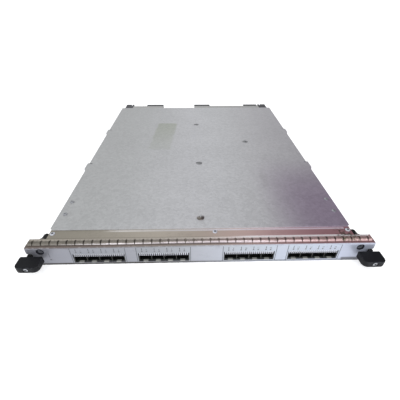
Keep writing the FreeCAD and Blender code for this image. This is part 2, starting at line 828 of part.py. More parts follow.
def make_lever():
    """The ejector lever: blade, arm, hub with its claw, and the tail that bears on the chassis."""
    lever = Piece("ejector_lever_right", z=d.lever_base)
    arm_outer = ARM_INNER + d.arm_width
    blade_outer = BLADE_INNER + d.blade_width
    tail_inner = PIVOT_X - d.tail_reach
    tail_outer = tail_inner + d.tail_width
    tail_end = d.pivot_y + d.tail_length
    tip = d.tail_width * 0.46
    claw, swell = d.claw_reach, d.tail_swell
    blade_end = -d.grip_setback - d.grip_rear_corner
    outline = [(BLADE_INNER, -d.blade_depth), (blade_outer, -d.blade_depth),
               (blade_outer, blade_end), (arm_outer, blade_end), (arm_outer, d.pivot_y - claw * 2.8),
               (arm_outer + claw, d.pivot_y - claw * 1.8),
               (arm_outer + claw, d.pivot_y - d.pivot_radius, -claw),
               (arm_outer, d.pivot_y - d.pivot_radius + claw), (tail_outer + swell / 2, d.pivot_y + claw),
               (tail_outer, tail_end - tip, tip), (tail_outer - tip, tail_end),
               (tail_inner + tip, tail_end, tip), (tail_inner, tail_end - tip),
               (tail_inner - swell, d.pivot_y + swell * 2), (tail_inner - swell, d.pivot_y - swell * 3),
               (tail_inner + swell, d.pivot_y - swell * 6), (ARM_INNER, d.pivot_y - swell * 10),
               (ARM_INNER, blade_end), (BLADE_INNER, blade_end)]
    lever.pad("XY", outline, d.lever_height)
    lever.drum("Subtractive", (PIVOT_X, d.pivot_y, -1), d.pivot_radius + d.running_gap,
               d.lever_height + 2)
    low = (d.lever_height - d.blade_height) / 2
    front = (-d.blade_depth - 1, d.notch_gap - d.grip_setback)
    side = (BLADE_INNER - 1, blade_outer + 1)
    lever.block("Subtractive", side, front, (-1, low))
    lever.block("Subtractive", side, front, (low + d.blade_height, d.lever_height + 1))
    lever.drum("Subtractive", (GRIP_SCREW_X, -d.blade_depth - 1, d.lever_height / 2), SCREW_HOLE,
               d.grip_screw_length, "Y")
    mirror_left(lever.done(), "ejector_lever_left")


def is_upright(edge):
    """True for a straight edge along Z."""
    return edge.Curve.TypeId == "Part::GeomLine" and abs(edge.tangentAt(edge.FirstParameter).z) > 0.99


def make_grip():
    """The moulded grip on the blade of the lever, with rounded corners and edges."""
    grip = Piece("ejector_grip_right", z=d.lever_base)
    height = d.lever_height
    front, rear = -d.grip_reach, -d.grip_setback
    inner = PIVOT_X - d.grip_inner_reach
    grip.pad("XY", rounded(inner, inner + d.grip_width, front, rear, d.grip_corner, d.grip_rear_corner),
             height)
    grip.round_edges(d.grip_edge, lambda edge: not is_upright(edge)
                     and edge.BoundBox.YMin < rear.value - 0.01)
    gap = d.free_gap
    low = (height - d.blade_height) / 2
    grip.block("Subtractive", (BLADE_INNER - gap, BLADE_INNER + d.blade_width + gap),
               (-d.blade_depth - gap, 0), (low - gap, low + d.blade_height + gap))
    centre = (GRIP_SCREW_X, front - 1, height / 2)
    grip.drum("Subtractive", centre, SCREW_HOLE, d.grip_reach - d.blade_depth + 2, "Y")
    grip.drum("Subtractive", centre, d.pan_head_radius + d.free_gap, d.screw_sink + 1, "Y")
    mirror_left(grip.done(), "ejector_grip_left")


def pan_screw(label, head_radius, head_height, length, x=0, y=0, z=0, rotation=None):
    """A cross-recessed pan-head screw along Z with its head's underside at z."""
    screw = Piece(label, x, y, z, rotation)
    shank = d.screw_radius
    edge = head_height * 0.45
    bulge = combine(head_radius * head_radius + (head_height - edge) * (head_height - edge), "/",
                    (head_height - edge) * 2)
    screw.turn([(0, -length), (shank, -length), (shank, 0), (head_radius, 0),
                (head_radius, edge, bulge), (0, head_height)])
    arm = head_radius * 0.5
    slot = head_radius * 0.12
    for reach_x, reach_y in ((arm, slot), (slot, arm)):
        screw.block("Subtractive", (-reach_x, reach_x), (-reach_y, reach_y),
                    (head_height * 0.45, head_height + 1))
    return screw


def make_grip_screw():
    """The screw that holds the grip on the lever."""
    screw = pan_screw("grip_screw_right", d.pan_head_radius, d.pan_head_height, d.grip_screw_length,
                      GRIP_SCREW_X, d.screw_sink - d.grip_reach, d.lever_base + d.lever_height / 2,
                      FreeCAD.Rotation(DIRECTIONS["X"], 90))
    mirror_left(screw.done(), "grip_screw_left")


def make_bracket():
    """The bracket on the tray wall: a shelf that carries the pivot and a flange riveted to the wall."""
    bracket = Piece("ejector_bracket_right")
    inner, sheet = TRAY_HALF, d.bracket_sheet
    outer = PIVOT_X + d.bracket_margin
    corner = d.bracket_corner
    side_end = d.pivot_y + d.bracket_margin
    shelf = [(inner, d.bracket_start), (outer - corner, d.bracket_start, corner),
             (outer, d.bracket_start + corner), (outer, side_end, corner),
             (outer - corner, side_end + corner), (inner, d.bracket_end)]
    bracket.pad("XY", shelf, sheet, BRACKET_TOP - sheet)
    bracket.block("Additive", (inner, inner + sheet), (d.bracket_start, d.bracket_end),
                  (d.bracket_low, BRACKET_TOP))
    bracket.drum("Subtractive", (PIVOT_X, d.pivot_y, 0), d.pivot_radius + d.free_gap, d.lever_base)
    for y in RIVET_PLACES:
        bracket.drum("Subtractive", (inner - 1, y, RIVET_LEVEL), d.rivet_radius, sheet + 2, "X")
    mirror_left(bracket.done(), "ejector_bracket_left")


def make_pivot_pin():
    """The headed pin, riveted through the shelf of the bracket, that the lever turns on."""
    shelf_under = BRACKET_TOP - d.bracket_sheet
    pin = Piece("pivot_pin_right", PIVOT_X, d.pivot_y, shelf_under)
    radius, head = d.pivot_radius, d.pivot_radius + d.pivot_head
    low, high = d.rivet_head, d.rivet_head * 1.3
    top = LEVER_TOP - shelf_under + d.notch_gap / 2
    pin.turn([(0, -low), (head, -low), (head, 0), (radius, 0), (radius, top), (head, top),
              (head, top + high / 2), (head - high / 2, top + high), (0, top + high)])
    mirror_left(pin.done(), "pivot_pin_left")


def make_bracket_rivets():
    """The rivets that join both brackets to the walls of the tray."""
    rivet = Piece("rivet_pattern")
    radius, head, thick = d.rivet_radius, d.rivet_radius * 1.8, d.rivet_head
    grip = d.tray_sheet + d.bracket_sheet
    rivet.turn([(0, -thick), (head, -thick), (head, 0), (radius, 0), (radius, grip), (head, grip),
                (head * 0.8, grip + thick), (0, grip + thick)])
    sides = ((-1, FreeCAD.Rotation(DIRECTIONS["Y"], -90)), (1, FreeCAD.Rotation(DIRECTIONS["Y"], 90)))
    links = []
    for side, turn in sides:
        for y in RIVET_PLACES:
            link = DOC.addObject("App::Link", "rivet_copy")
            link.LinkedObject = rivet.body
            place(link, side * (TRAY_HALF - d.tray_sheet), y, RIVET_LEVEL, turn)
            links.append(link)
    group("bracket_rivets", links)


def make_captive_screw():
    """A captive screw: a cross-recessed head sunk in the sleeve, a thin neck and a threaded end."""
    screw = Piece("captive_screw_right", CAPTIVE_X, 0, d.captive_level,
                  FreeCAD.Rotation(DIRECTIONS["X"], 90))
    head, shank, neck = d.captive_head, d.captive_radius, d.captive_neck
    top, chamfer = -d.captive_sink, d.captive_neck * 0.4
    under = top - d.captive_head_length
    thread = -d.sleeve_length - 1
    screw.turn([(0, -d.captive_tip), (shank - chamfer, -d.captive_tip), (shank, chamfer - d.captive_tip),
                (shank, thread), (neck, thread), (neck, under), (head, under), (head, top - chamfer),
                (head - chamfer, top), (0, top)])
    arm, slot = head * 0.62, head * 0.14
    for reach_x, reach_y in ((arm, slot), (slot, arm)):
        screw.block("Subtractive", (-reach_x, reach_x), (-reach_y, reach_y), (top - head / 2, top + 1))
    mirror_left(screw.done(), "captive_screw_left")


def make_captive_sleeve():
    """The ferrule pressed in the faceplate that keeps the captive screw."""
    sleeve = Piece("captive_sleeve_right", CAPTIVE_X, 0, d.captive_level,
                   FreeCAD.Rotation(DIRECTIONS["X"], 90))
    outer, rim = d.sleeve_radius, d.sleeve_rim
    bore, web_bore = d.captive_head + d.running_gap, d.captive_radius + d.running_gap
    end = -d.sleeve_length
    web = end + d.sleeve_web
    sleeve.turn([(web_bore, end), (outer, end), (outer, 0), (outer + rim, 0), (outer + rim / 2, rim / 2),
                 (bore, rim / 2), (bore, web), (web_bore, web)])
    mirror_left(sleeve.done(), "captive_sleeve_left")


def make_fasteners():
    """The remaining screws and the pillars that they enter."""
    pan = pan_screw("pan_screw", d.pan_head_radius, d.pan_head_height, d.screw_length)
    copies("flange_screws", pan, [(x, y, d.plate_height) for x, y in FLANGE_SCREWS])
    copies("cover_edge_screws", pan, [(x, y, COVER_TOP) for x, y in EDGE_SCREWS])
    seat = COVER_UNDER - d.dimple_depth + d.cover_sheet
    middle = pan_screw("middle_screw", d.middle_head_radius, d.pan_head_height, d.screw_length)
    copies("cover_middle_screws", middle, [(x, y, seat) for x, y in COVER_SCREWS])
    dome = pan_screw("cover_dome_screw", d.dome_radius, d.dome_height, d.screw_length, *DOME_SCREW,
                     COVER_TOP)
    dome.done()
    short = Piece("board_screw")
    head, shank, thick = d.pan_head_radius, d.screw_radius, d.board_head_height
    length = BOARD_TOP - d.notch_gap / 2
    short.turn([(0, -length), (shank, -length), (shank, 0), (head, 0), (head, thick), (0, thick)])
    places = [(x, y, BOARD_TOP) for x, y in BOARD_SCREWS]
    places += [(x, y, BOARD_TOP + d.stiffener_sheet) for x, y in STIFFENER_SCREWS]
    copies("board_screws", short, places)
    pillars = []
    for x, y, top in ([(*spot, COVER_UNDER - d.dimple_depth) for spot in COVER_SCREWS]
                      + [(*DOME_SCREW, COVER_UNDER)] + [(*FLANGE_SCREWS[1], FLANGE_UNDER)]):
        pillar = Piece("pillar", x, y, BOARD_TOP)
        tall, hole = top - BOARD_TOP, SCREW_HOLE
        pillar.turn([(0, 0), (d.pillar_radius, 0), (d.pillar_radius, tall), (hole, tall),
                     (hole, tall - d.screw_length - 1), (0, tall - d.screw_length - 1)])
        pillars.append(pillar.body)
    group("cover_pillars", pillars)


def make_stiffener():
    """The rear stiffener: a foot on the board, a web, and hood tongues over the connectors."""
    bar = Piece("rear_stiffener")
    y, sheet = STIFFENER_Y, d.stiffener_sheet
    section = [(y - d.stiffener_foot, BOARD_TOP), (y + sheet, BOARD_TOP), (y + sheet, COVER_UNDER),
               (y, COVER_UNDER), (y, BOARD_TOP + sheet), (y - d.stiffener_foot, BOARD_TOP + sheet)]
    bar.pad("YZ", section, (TRAY_HALF - d.stiffener_inset) * 2, symmetric=True)
    hood = TRAY_HALF - d.hood_inset
    for low, high in ((-hood, d.hood_gap_left), (d.hood_gap_right, hood)):
        bar.block("Additive", (low, high), (y, d.card_length - d.hood_setback),
                  (COVER_UNDER - sheet, COVER_UNDER))
    for x, screw_y in STIFFENER_SCREWS:
        bar.drum("Subtractive", (x, screw_y, BOARD_TOP - 1), SCREW_HOLE, sheet + 2)
    bar.done()


def make_backplane_connector(number):
    """A right-angle backplane connector: a sloped housing with a comb of contact slots at the rear."""
    housing = Piece(f"backplane_connector_{number}", getattr(d, f"connector_{number}_left"))
    wide = getattr(d, f"connector_{number}_width")
    end, low, top = d.card_length, BOARD_TOP, BOARD_TOP + d.connector_height
    start, rail = end - d.connector_depth, d.contact_rail
    section = [(start, low), (end, low), (end, top), (start + d.connector_lead, top),
               (start, top - d.connector_slope)]
    housing.pad("YZ", section, wide)
    comb = housing.block("Subtractive", (rail, rail + d.contact_slot), (end - d.contact_depth, end + 1),
                         (low + rail, top - rail))
    count = whole((wide - rail * 2 - d.contact_slot) / d.contact_pitch) + 1
    housing.repeat([comb], "X", d.contact_pitch, count)
    housing.done()


def make_guide_block():
    """The guide socket that takes a backplane guide pin, with a chamfered top and a keying groove."""
    block = Piece("guide_block_right", TRAY_HALF - d.guide_inset - d.guide_width)
    end, low, top = d.card_length, BOARD_TOP, BOARD_TOP + d.guide_height
    start, chamfer = end - d.guide_depth, d.guide_chamfer
    section = [(start, low), (end, low), (end, top - chamfer), (end - chamfer, top), (start, top)]
    block.pad("YZ", section, d.guide_width)
    block.drum("Subtractive", (d.guide_width / 2, end - d.guide_bore_depth, d.guide_bore_level),
               d.guide_bore, d.guide_bore_depth + 1, "Y")
    block.block("Subtractive", (d.guide_groove_x, d.guide_groove_x + d.guide_groove),
                (end - d.guide_groove_length, end + 1), (top - d.guide_groove_depth, top + 1))
    mirror_left(block.done(), "guide_block_left")


def make_processor(number, x, y):
    """A packet processor package and the finned heat sink on it."""
    keep(plain_box(f"package_{number}", x, y, BOARD_TOP, d.package_side, d.package_side,
                   d.package_height), f"packet_processor_{number}")
    sink = Piece(f"heat_sink_{number}", x, y, BOARD_TOP + d.package_height)
    long, wide = d.sink_length / 2, d.sink_width / 2
    sink.block("Additive", (-long, long), (-wide, wide), (0, d.sink_height))
    gap = d.fin_pitch - d.fin_sheet
    first = -d.fin_pitch * (d.fin_count - 2) / 2
    cut = sink.block("Subtractive", (-long - 1, long + 1), (first - gap / 2, first + gap / 2),
                     (d.sink_base, d.sink_height + 1))
    sink.repeat([cut], "Y", d.fin_pitch, d.fin_count - 1)
    sink.done()


def make_board_parts():
    """Processors with their heat sinks, memory, power modules and bulk capacitors."""
    memory = []
    for number in (1, 2):
        x, y = getattr(d, f"processor_{number}_x"), getattr(d, f"processor_{number}_y")
        make_processor(number, x, y)
        chip_y = y + d.sink_width / 2 + d.memory_gap + d.memory_width / 2
        for index in (-1.5, -0.5, 0.5, 1.5):
            memory.append(plain_box("memory_chip", x + d.memory_pitch * index, chip_y, BOARD_TOP,
                                    d.memory_length, d.memory_width, d.memory_height))
    group("memory_chips", memory)
    power = [plain_box("power_module", x, POWER_Y, BOARD_TOP, d.power_length, d.power_width,
                       d.power_height) for x in (d.power_1_x, d.power_2_x, d.power_3_x)]
    group("power_modules", power)
    cans = []
    for index in range(6):
        can = DOC.addObject("Part::Cylinder", "bulk_capacitor")
        bind(can, "Radius", d.can_radius)
        bind(can, "Height", d.can_height)
        place(can, d.can_inset - BOARD_HALF + d.can_pitch * index, CAN_Y, BOARD_TOP)
        cans.append(can)
    group("bulk_capacitors", cans)


def write_parts():
    """Check every object, then write each sub-part to its own file."""
    DOC.recompute()
    for item in DOC.Objects:
        if "Invalid" in item.State or "Error" in item.State:
            raise RuntimeError(f"{item.Label} failed: {item.State}")
    for item in SUB_PARTS:
        if item.Shape.isNull() or not item.Shape.isValid():
            raise RuntimeError(f"{item.Label} has no valid shape")
    os.makedirs("parts", exist_ok=True)
    for item in SUB_PARTS:
        item.Shape.exportStep(f"parts/{item.Label}.step")


make_tray()
make_board()
make_faceplate()
make_finger_strip()
for group_number, group_x in GROUPS:
    make_cage(group_number, group_x)
    make_host_connectors(group_number, group_x)
    make_cage_gasket(group_number, group_x)
    make_light_pipe(group_number, group_x)
make_status_lens()
make_lever()
make_grip()
make_grip_screw()
make_bracket()
make_pivot_pin()
make_bracket_rivets()
make_captive_screw()
make_captive_sleeve()
make_stiffener()
for connector_number in range(1, 4):
    make_backplane_connector(connector_number)
make_guide_block()
make_board_parts()
make_cover()
make_fasteners()
write_parts()
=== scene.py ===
"""The looks of a switch line card: finishes, printed marks, contacts and small parts, light and camera."""
import logging
import math
from dataclasses import dataclass, field
from enum import Enum

import bmesh
import bpy
import numpy as np
from mathutils import Matrix, Vector


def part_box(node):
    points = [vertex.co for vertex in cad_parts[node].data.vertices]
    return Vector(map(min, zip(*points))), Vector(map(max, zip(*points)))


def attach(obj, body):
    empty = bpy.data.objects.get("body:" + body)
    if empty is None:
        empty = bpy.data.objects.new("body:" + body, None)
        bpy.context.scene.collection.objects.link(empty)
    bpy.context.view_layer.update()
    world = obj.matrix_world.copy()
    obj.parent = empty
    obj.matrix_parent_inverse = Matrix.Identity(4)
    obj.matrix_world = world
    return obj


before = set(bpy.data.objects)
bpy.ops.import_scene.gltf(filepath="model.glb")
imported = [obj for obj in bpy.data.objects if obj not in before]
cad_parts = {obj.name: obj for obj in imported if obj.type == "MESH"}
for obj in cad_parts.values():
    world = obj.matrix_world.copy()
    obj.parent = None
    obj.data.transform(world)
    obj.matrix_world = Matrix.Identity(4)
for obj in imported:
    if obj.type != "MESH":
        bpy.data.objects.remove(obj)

LOG = logging.getLogger("line_card")
MM = 0.001
FRONT = -240.0 * MM
GROUPS = range(1, 5)
CONNECTORS = range(1, 4)
PORT_PITCH = 14.25 * MM
PORTS = (np.arange(4) - 1.5) * PORT_PITCH
FINGER_PITCH = 9.525 * MM
SMALL_FINGER_PITCH = 2.375 * MM
CARD_HALF = 200.0 * MM
FLANGE_LEVEL = 26.2 * MM
SILL_LEVEL = 3.4 * MM
BORE_LEVEL = 14.0 * MM

Colour = tuple[float, float, float]
Point = tuple[float, float, float] | Vector


class Side(Enum):
    """The two ends of the card, seen from the faceplate."""

    LEFT = -1
    RIGHT = 1

    @property
    def word(self) -> str:
        """The side's name as node names spell it."""
        return self.name.lower()


class Body(Enum):
    """The bodies that new pieces ride on."""

    CARD = "card"
    LEFT_SCREW = "left_captive_screw"
    RIGHT_SCREW = "right_captive_screw"


class Mix(Enum):
    """The ways in which one colour goes over another."""

    PLAIN = "MIX"
    MULTIPLY = "MULTIPLY"


def light(tone: Colour) -> Colour:
    """A display tone as linear light, by the usual display curve.

    Args:
        tone: Red, green and blue, each 0 to 255.

    Returns:
        The same colour as linear light, each 0 to 1.
    """
    shares = np.array(tone) / 255.0
    linear = np.where(shares <= 0.04045, shares / 12.92, ((shares + 0.055) / 1.055) ** 2.4)
    return tuple(float(value) for value in linear)


def half_way(first: Colour, second: Colour) -> Colour:
    """The display tone whose light lies half way between those of two tones."""
    mean = (np.array(light(first)) + np.array(light(second))) / 2
    return tuple(255.0 * (1.055 * mean ** (1 / 2.4) - 0.055))


def at(x: float, y: float, z: float) -> Point:
    """A place given in millimetres, with y from the front plane of the faceplate, in metres."""
    return (x * MM, FRONT + y * MM, z * MM)


def middle(node: str) -> Vector:
    """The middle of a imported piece's box."""
    low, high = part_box(node)
    return (Vector(low) + Vector(high)) / 2


# --- surfaces -------------------------------------------------------------------------------------


def lattice_faces(rows: int, columns: int, wrap_rows: bool, wrap_columns: bool) -> np.ndarray:
    """The four-sided faces of a grid of points: each cell joins a point to its next in both directions.

    Args:
        rows: Points along the first parameter.
        columns: Points along the second parameter.
        wrap_rows: Whether the last row joins the first.
        wrap_columns: Whether the last column joins the first.

    Returns:
        An array of faces, four point numbers each.
    """
    down = np.arange(rows if wrap_rows else rows - 1)
    across = np.arange(columns if wrap_columns else columns - 1)
    i, j = np.meshgrid(down, across, indexing="ij")
    below, beside = (i + 1) % rows, (j + 1) % columns
    corners = [i * columns + j, i * columns + beside, below * columns + beside, below * columns + j]
    return np.stack([corner.ravel() for corner in corners], axis=1)


@dataclass
class Surface:
    """A surface worked out on a grid of two parameters, repeated at a set of places.

    Attributes:
        name: The piece's name.
        points: The grid, rows by columns by three, in metres.
        wrap_rows: Whether the rows close on themselves.
        wrap_columns: Whether the columns close on themselves.
        places: Where the shape is repeated, one offset each, in metres.
    """

    name: str
    points: np.ndarray
    wrap_rows: bool = False
    wrap_columns: bool = True
    places: np.ndarray = field(default_factory=lambda: np.zeros((1, 3)))

    def build(self) -> bpy.types.Object:
        """Makes the mesh: the grid's points moved to every place, with doubles at the poles merged.

        Returns:
            The new piece, at the origin, with its faces turned outwards.
        """
        rows, columns = self.points.shape[:2]
        flat = self.points.reshape(-1, 3)
        places = np.asarray(self.places, float).reshape(-1, 3)
        everything = (places[:, None, :] + flat[None, :, :]).reshape(-1, 3)
        cells = lattice_faces(rows, columns, self.wrap_rows, self.wrap_columns)
        faces = (np.arange(len(places))[:, None, None] * len(flat) + cells[None]).reshape(-1, 4)
        mesh = bpy.data.meshes.new(self.name)
        mesh.vertices.add(len(everything))
        mesh.vertices.foreach_set("co", everything.ravel())
        mesh.loops.add(faces.size)
        mesh.loops.foreach_set("vertex_index", faces.ravel().astype(np.int32))
        mesh.polygons.add(len(faces))
        mesh.polygons.foreach_set("loop_start", np.arange(0, faces.size, 4, dtype=np.int32))
        mesh.polygons.foreach_set("use_smooth", np.zeros(len(faces), bool))
        mesh.update(calc_edges=True)
        mesh.validate()
        shell = bmesh.new()
        shell.from_mesh(mesh)
        bmesh.ops.remove_doubles(shell, verts=shell.verts, dist=1e-7)
        bmesh.ops.dissolve_degenerate(shell, edges=shell.edges, dist=1e-8)
        bmesh.ops.recalc_face_normals(shell, faces=shell.faces)
        shell.to_mesh(mesh)
        shell.free()
        return place_mesh(self.name, mesh)


def place_mesh(name: str, mesh: bpy.types.Mesh) -> bpy.types.Object:
    """Puts a mesh in the scene.

    Args:
        name: The piece's name.
        mesh: Its mesh.

    Returns:
        The new piece, at the origin.
    """
    piece = bpy.data.objects.new(name, mesh)
    bpy.context.scene.collection.objects.link(piece)
    return piece


def moulded_block(size: Point, roundness: float, crown: float, around: int = 8) -> np.ndarray:
    """A moulded block that stands on z = 0, centred on x and y.

    Formula: its plan is a superellipse, |x/a|^n + |y/b|^n = 1; from the middle of its underside the
    plan grows to full size, rises, draws in over the crown and closes at the middle of its top.

    Args:
        size: Length, width and height in metres.
        roundness: The exponent n of the plan; more is squarer.
        crown: The height of the rounded upper edge in metres.
        around: Points round the plan.

    Returns:
        The grid of points, whose second parameter wraps.
    """
    angle = np.linspace(0, 2 * np.pi, around, endpoint=False) + np.pi / around
    cosine, sine = np.cos(angle), np.sin(angle)
    power = 2 / roundness
    plan_x = np.sign(cosine) * np.abs(cosine) ** power * size[0] / 2
    plan_y = np.sign(sine) * np.abs(sine) ** power * size[1] / 2
    shrink = 2 * crown / max(size[0], size[1])
    share = np.array([0, 1, 1, 1 - shrink * 0.3, 1 - shrink, 0])
    level = np.array([0, 0, size[2] - crown, size[2] - crown * 0.3, size[2], size[2]])
    return np.stack([share[:, None] * plan_x, share[:, None] * plan_y,
                     np.broadcast_to(level[:, None], (len(level), around))], axis=2)


def turned_profile(profile: np.ndarray, centre: Point, around: int = 40) -> np.ndarray:
    """A closed profile turned about an axis along Y.

    Formula: a profile point of radius r and depth h goes to (r cos a, h, r sin a) about the centre.

    Args:
        profile: Radius and depth of each point, in metres.
        centre: The axis point at depth 0.
        around: Steps round the axis.

    Returns:
        The grid of points; both parameters wrap.
    """
    angle = np.linspace(0, 2 * np.pi, around, endpoint=False)
    radius, depth = profile[:, 0][None, :], profile[:, 1][None, :]
    ring = np.stack([radius * np.cos(angle)[:, None], np.broadcast_to(depth, (around, len(profile))),
                     radius * np.sin(angle)[:, None]], axis=2)
    return ring + np.array(centre)


def thread_ridge(radius: float, depth: float, pitch: float, turns: int, centre: Point) -> np.ndarray:
    """A screw thread's ridge about an axis along Y.

    Formula: a three-cornered profile is carried along a helix, y = pitch * a / 2 pi, and its height
    runs out smoothly over the first and last half turn.

    Args:
        radius: The radius of the ridge's crest.
        depth: How far its root lies under the crest.
        pitch: Travel along the axis per turn.
        turns: Whole turns.
        centre: Where the helix starts.

    Returns:
        The grid of points, whose second parameter wraps.
    """
    angle = np.linspace(0, turns * 2 * np.pi, turns * 20 + 1)
    fade = np.clip(np.minimum(angle, angle[-1] - angle) / np.pi, 0.02, 1)
    reach = np.array([-1.15, -1.15, 0.0])[None, :] * depth
    reach = radius + np.where(reach < 0, reach, -depth * (1 - fade[:, None]))
    along = angle[:, None] / (2 * np.pi) * pitch + np.array([-0.42, 0.42, 0.0])[None, :] * pitch
    ring = np.stack([reach * np.cos(angle)[:, None], along, reach * np.sin(angle)[:, None]], axis=2)
    return ring + np.array(centre)


def flat_band(path: np.ndarray, width: float, rise: float) -> np.ndarray:
    """A thin printed line on a plate that faces -Y.

    Formula: at each point of the path the line's two edges stand half a width to either side, along
    the mitre of the corner, and a rectangle joins front and back, a rise apart.

    Args:
        path: X and Z of each point of a closed outline, in metres.
        width: The line's width.
        rise: Its thickness along Y.

    Returns:
        The grid of points; both parameters wrap.
    """
    ahead = np.roll(path, -1, axis=0) - path
    ahead /= np.linalg.norm(ahead, axis=1, keepdims=True)
    behind = np.roll(ahead, 1, axis=0)
    normal = np.stack([-ahead[:, 1], ahead[:, 0]], axis=1)
    mitre = normal + np.stack([-behind[:, 1], behind[:, 0]], axis=1)
    mitre /= (mitre * normal).sum(axis=1, keepdims=True)
    edges = [path + mitre * width / 2, path - mitre * width / 2]
    corners = [(edges[0], 0.0), (edges[1], 0.0), (edges[1], -rise), (edges[0], -rise)]
    return np.stack([np.stack([edge[:, 0], np.full(len(path), deep), edge[:, 1]], axis=1)
                     for edge, deep in corners], axis=1)


# --- shader graphs --------------------------------------------------------------------------------


class Wire:
    """One output in a node tree, which takes the usual signs of arithmetic."""

    def __init__(self, graph: "Graph", socket: bpy.types.NodeSocket) -> None:
        """Keeps the output and the graph that it belongs to."""
        self.graph = graph
        self.socket = socket

    def __add__(self, other: "Feed") -> "Wire":
        """The sum of both."""
        return self.graph.math("ADD", self, other)

    def __sub__(self, other: "Feed") -> "Wire":
        """This less the other."""
        return self.graph.math("SUBTRACT", self, other)

    def __rsub__(self, other: "Feed") -> "Wire":
        """The other less this."""
        return self.graph.math("SUBTRACT", other, self)

    def __mul__(self, other: "Feed") -> "Wire":
        """The product of both."""
        return self.graph.math("MULTIPLY", self, other)


Feed = Wire | float | Colour | Point
Coat = tuple[Feed, Feed, Feed]


class Graph:
    """A node tree that is being filled in. A plain colour is a display tone of 0 to 255."""

    def __init__(self, tree: bpy.types.NodeTree) -> None:
        """Starts on an empty tree."""
        self.tree = tree

    def add(self, kind: str) -> bpy.types.Node:
        """A new node, set out beside the last.

        Args:
            kind: Its kind.

        Returns:
            The node.
        """
        node = self.tree.nodes.new(kind)
        count = len(self.tree.nodes)
        node.location = (count % 9 * 190, -(count // 9) * 240)
        return node

    def fill(self, node: bpy.types.Node, feeds: dict[str | int, Feed]) -> bpy.types.Node:
        """Links each input of a node to its source, or sets it to a plain value.

        Args:
            node: The node.
            feeds: What each input gets, by its name or number.

        Returns:
            The node.
        """
        for name, source in feeds.items():
            socket = node.inputs[name]
            if isinstance(source, Wire):
                self.tree.links.new(source.socket, socket)
            elif socket.type == "RGBA":
                socket.default_value = (*light(source), 1.0)
            else:
                socket.default_value = source
        return node

    def node(self, kind: str, feeds: dict[str | int, Feed], output: str | int = 0,
             **settings: object) -> Wire:
        """A new node, set up and filled in.

        Args:
            kind: Its kind.
            feeds: What each input gets.
            output: Which output is wanted.
            settings: Its own settings.

        Returns:
            The wanted output.
        """
        node = self.add(kind)
        for name, value in settings.items():
            setattr(node, name, value)
        return Wire(self, self.fill(node, feeds).outputs[output])

    def math(self, operation: str, first: Feed, second: Feed = 0.0) -> Wire:
        """One step of arithmetic."""
        return self.node("ShaderNodeMath", {0: first, 1: second}, operation=operation)

    def larger(self, first: Feed, second: Feed) -> Wire:
        """The larger of two values."""
        return self.math("MAXIMUM", first, second)

    def stagger(self, value: Feed, step: float) -> Wire:
        """How far a value lies from the nearest whole number of steps."""
        return self.math("PINGPONG", value, step / 2)

    def vector(self, operation: str, first: Feed, second: Feed) -> Wire:
        """One step of vector arithmetic."""
        other = "Scale" if operation == "SCALE" else 1
        return self.node("ShaderNodeVectorMath", {0: first, other: second}, operation=operation)

    def split(self, vector: Wire) -> list[Wire]:
        """The three parts of a vector."""
        node = self.fill(self.add("ShaderNodeSeparateXYZ"), {0: vector})
        return [Wire(self, socket) for socket in node.outputs]

    def ease(self, value: Feed, low: Feed, high: Feed, bottom: Feed = 0.0, top: Feed = 1.0) -> Wire:
        """A value carried smoothly from one range to another.

        Args:
            value: What is carried.
            low: Where the result is still at its bottom.
            high: Where the result reaches its top.
            bottom: The result at low.
            top: The result at high.

        Returns:
            The carried value.
        """
        return self.node("ShaderNodeMapRange", {"Value": value, "From Min": low, "From Max": high,
                                                "To Min": bottom, "To Max": top},
                         "Result", interpolation_type="SMOOTHSTEP")

    def fade(self, value: Feed, low: Feed, high: Feed, top: float = 1.0) -> Wire:
        """The reverse of ease(): a top value below low that falls to 0 at high."""
        return self.ease(value, low, high, top, 0.0)

    def mix(self, share: Feed, under: Feed, over: Feed, how: Mix = Mix.PLAIN) -> Wire:
        """One colour over another.

        Args:
            share: 0 keeps the under colour, 1 the over colour.
            under: The colour underneath.
            over: The colour on top.
            how: The way they combine.

        Returns:
            The colour.
        """
        return self.node("ShaderNodeMix", {0: share, 6: under, 7: over}, 2, data_type="RGBA",
                         blend_type=how.value)

    def tint(self, under: Feed, over: Feed) -> Wire:
        """A colour multiplied by another colour, or by a value."""
        return self.mix(1.0, under, over, Mix.MULTIPLY)

    def layers(self, colour: Feed, *coats: tuple[Feed, Feed]) -> Feed:
        """Lays coats over a colour, one after the other.

        Args:
            colour: The colour underneath.
            coats: How much shows of each coat, and its colour.

        Returns:
            The colour.
        """
        for share, over in coats:
            colour = self.mix(share, colour, over)
        return colour

    def noise(self, vector: Feed, scale: Feed, detail: float, rough: float) -> Wire:
        """Soft random values over the surface."""
        return self.node("ShaderNodeTexNoise", {"Vector": vector, "Scale": scale, "Detail": detail,
                                                "Roughness": rough}, "Fac")

    def drift(self, vector: Feed, scale: float, reach: float) -> Wire:
        """The point moved at random, to bend a pattern."""
        away = self.node("ShaderNodeTexNoise", {"Vector": vector, "Scale": scale}, "Color")
        return self.vector("ADD", vector, self.vector("SCALE", away, reach))

    def cells(self, vector: Feed, scale: Feed, output: str, feature: str = "F1") -> Wire:
        """A pattern of random cells."""
        return self.node("ShaderNodeTexVoronoi", {"Vector": vector, "Scale": scale}, output,
                         feature=feature)

    def ramp(self, share: Feed, stops: dict[float, Colour]) -> Wire:
        """A colour picked along a row of stops.

        Args:
            share: Where along the row, 0 to 1.
            stops: The colour at each place, in order.

        Returns:
            The colour.
        """
        node = self.fill(self.add("ShaderNodeValToRGB"), {0: share})
        row = node.color_ramp
        row.interpolation = "B_SPLINE"
        while len(row.elements) < len(stops):
            row.elements.new(0.5)
        for element, (place, colour) in zip(row.elements, stops.items()):
            element.position = place
            element.color = (*light(colour), 1.0)
        return Wire(self, node.outputs[0])

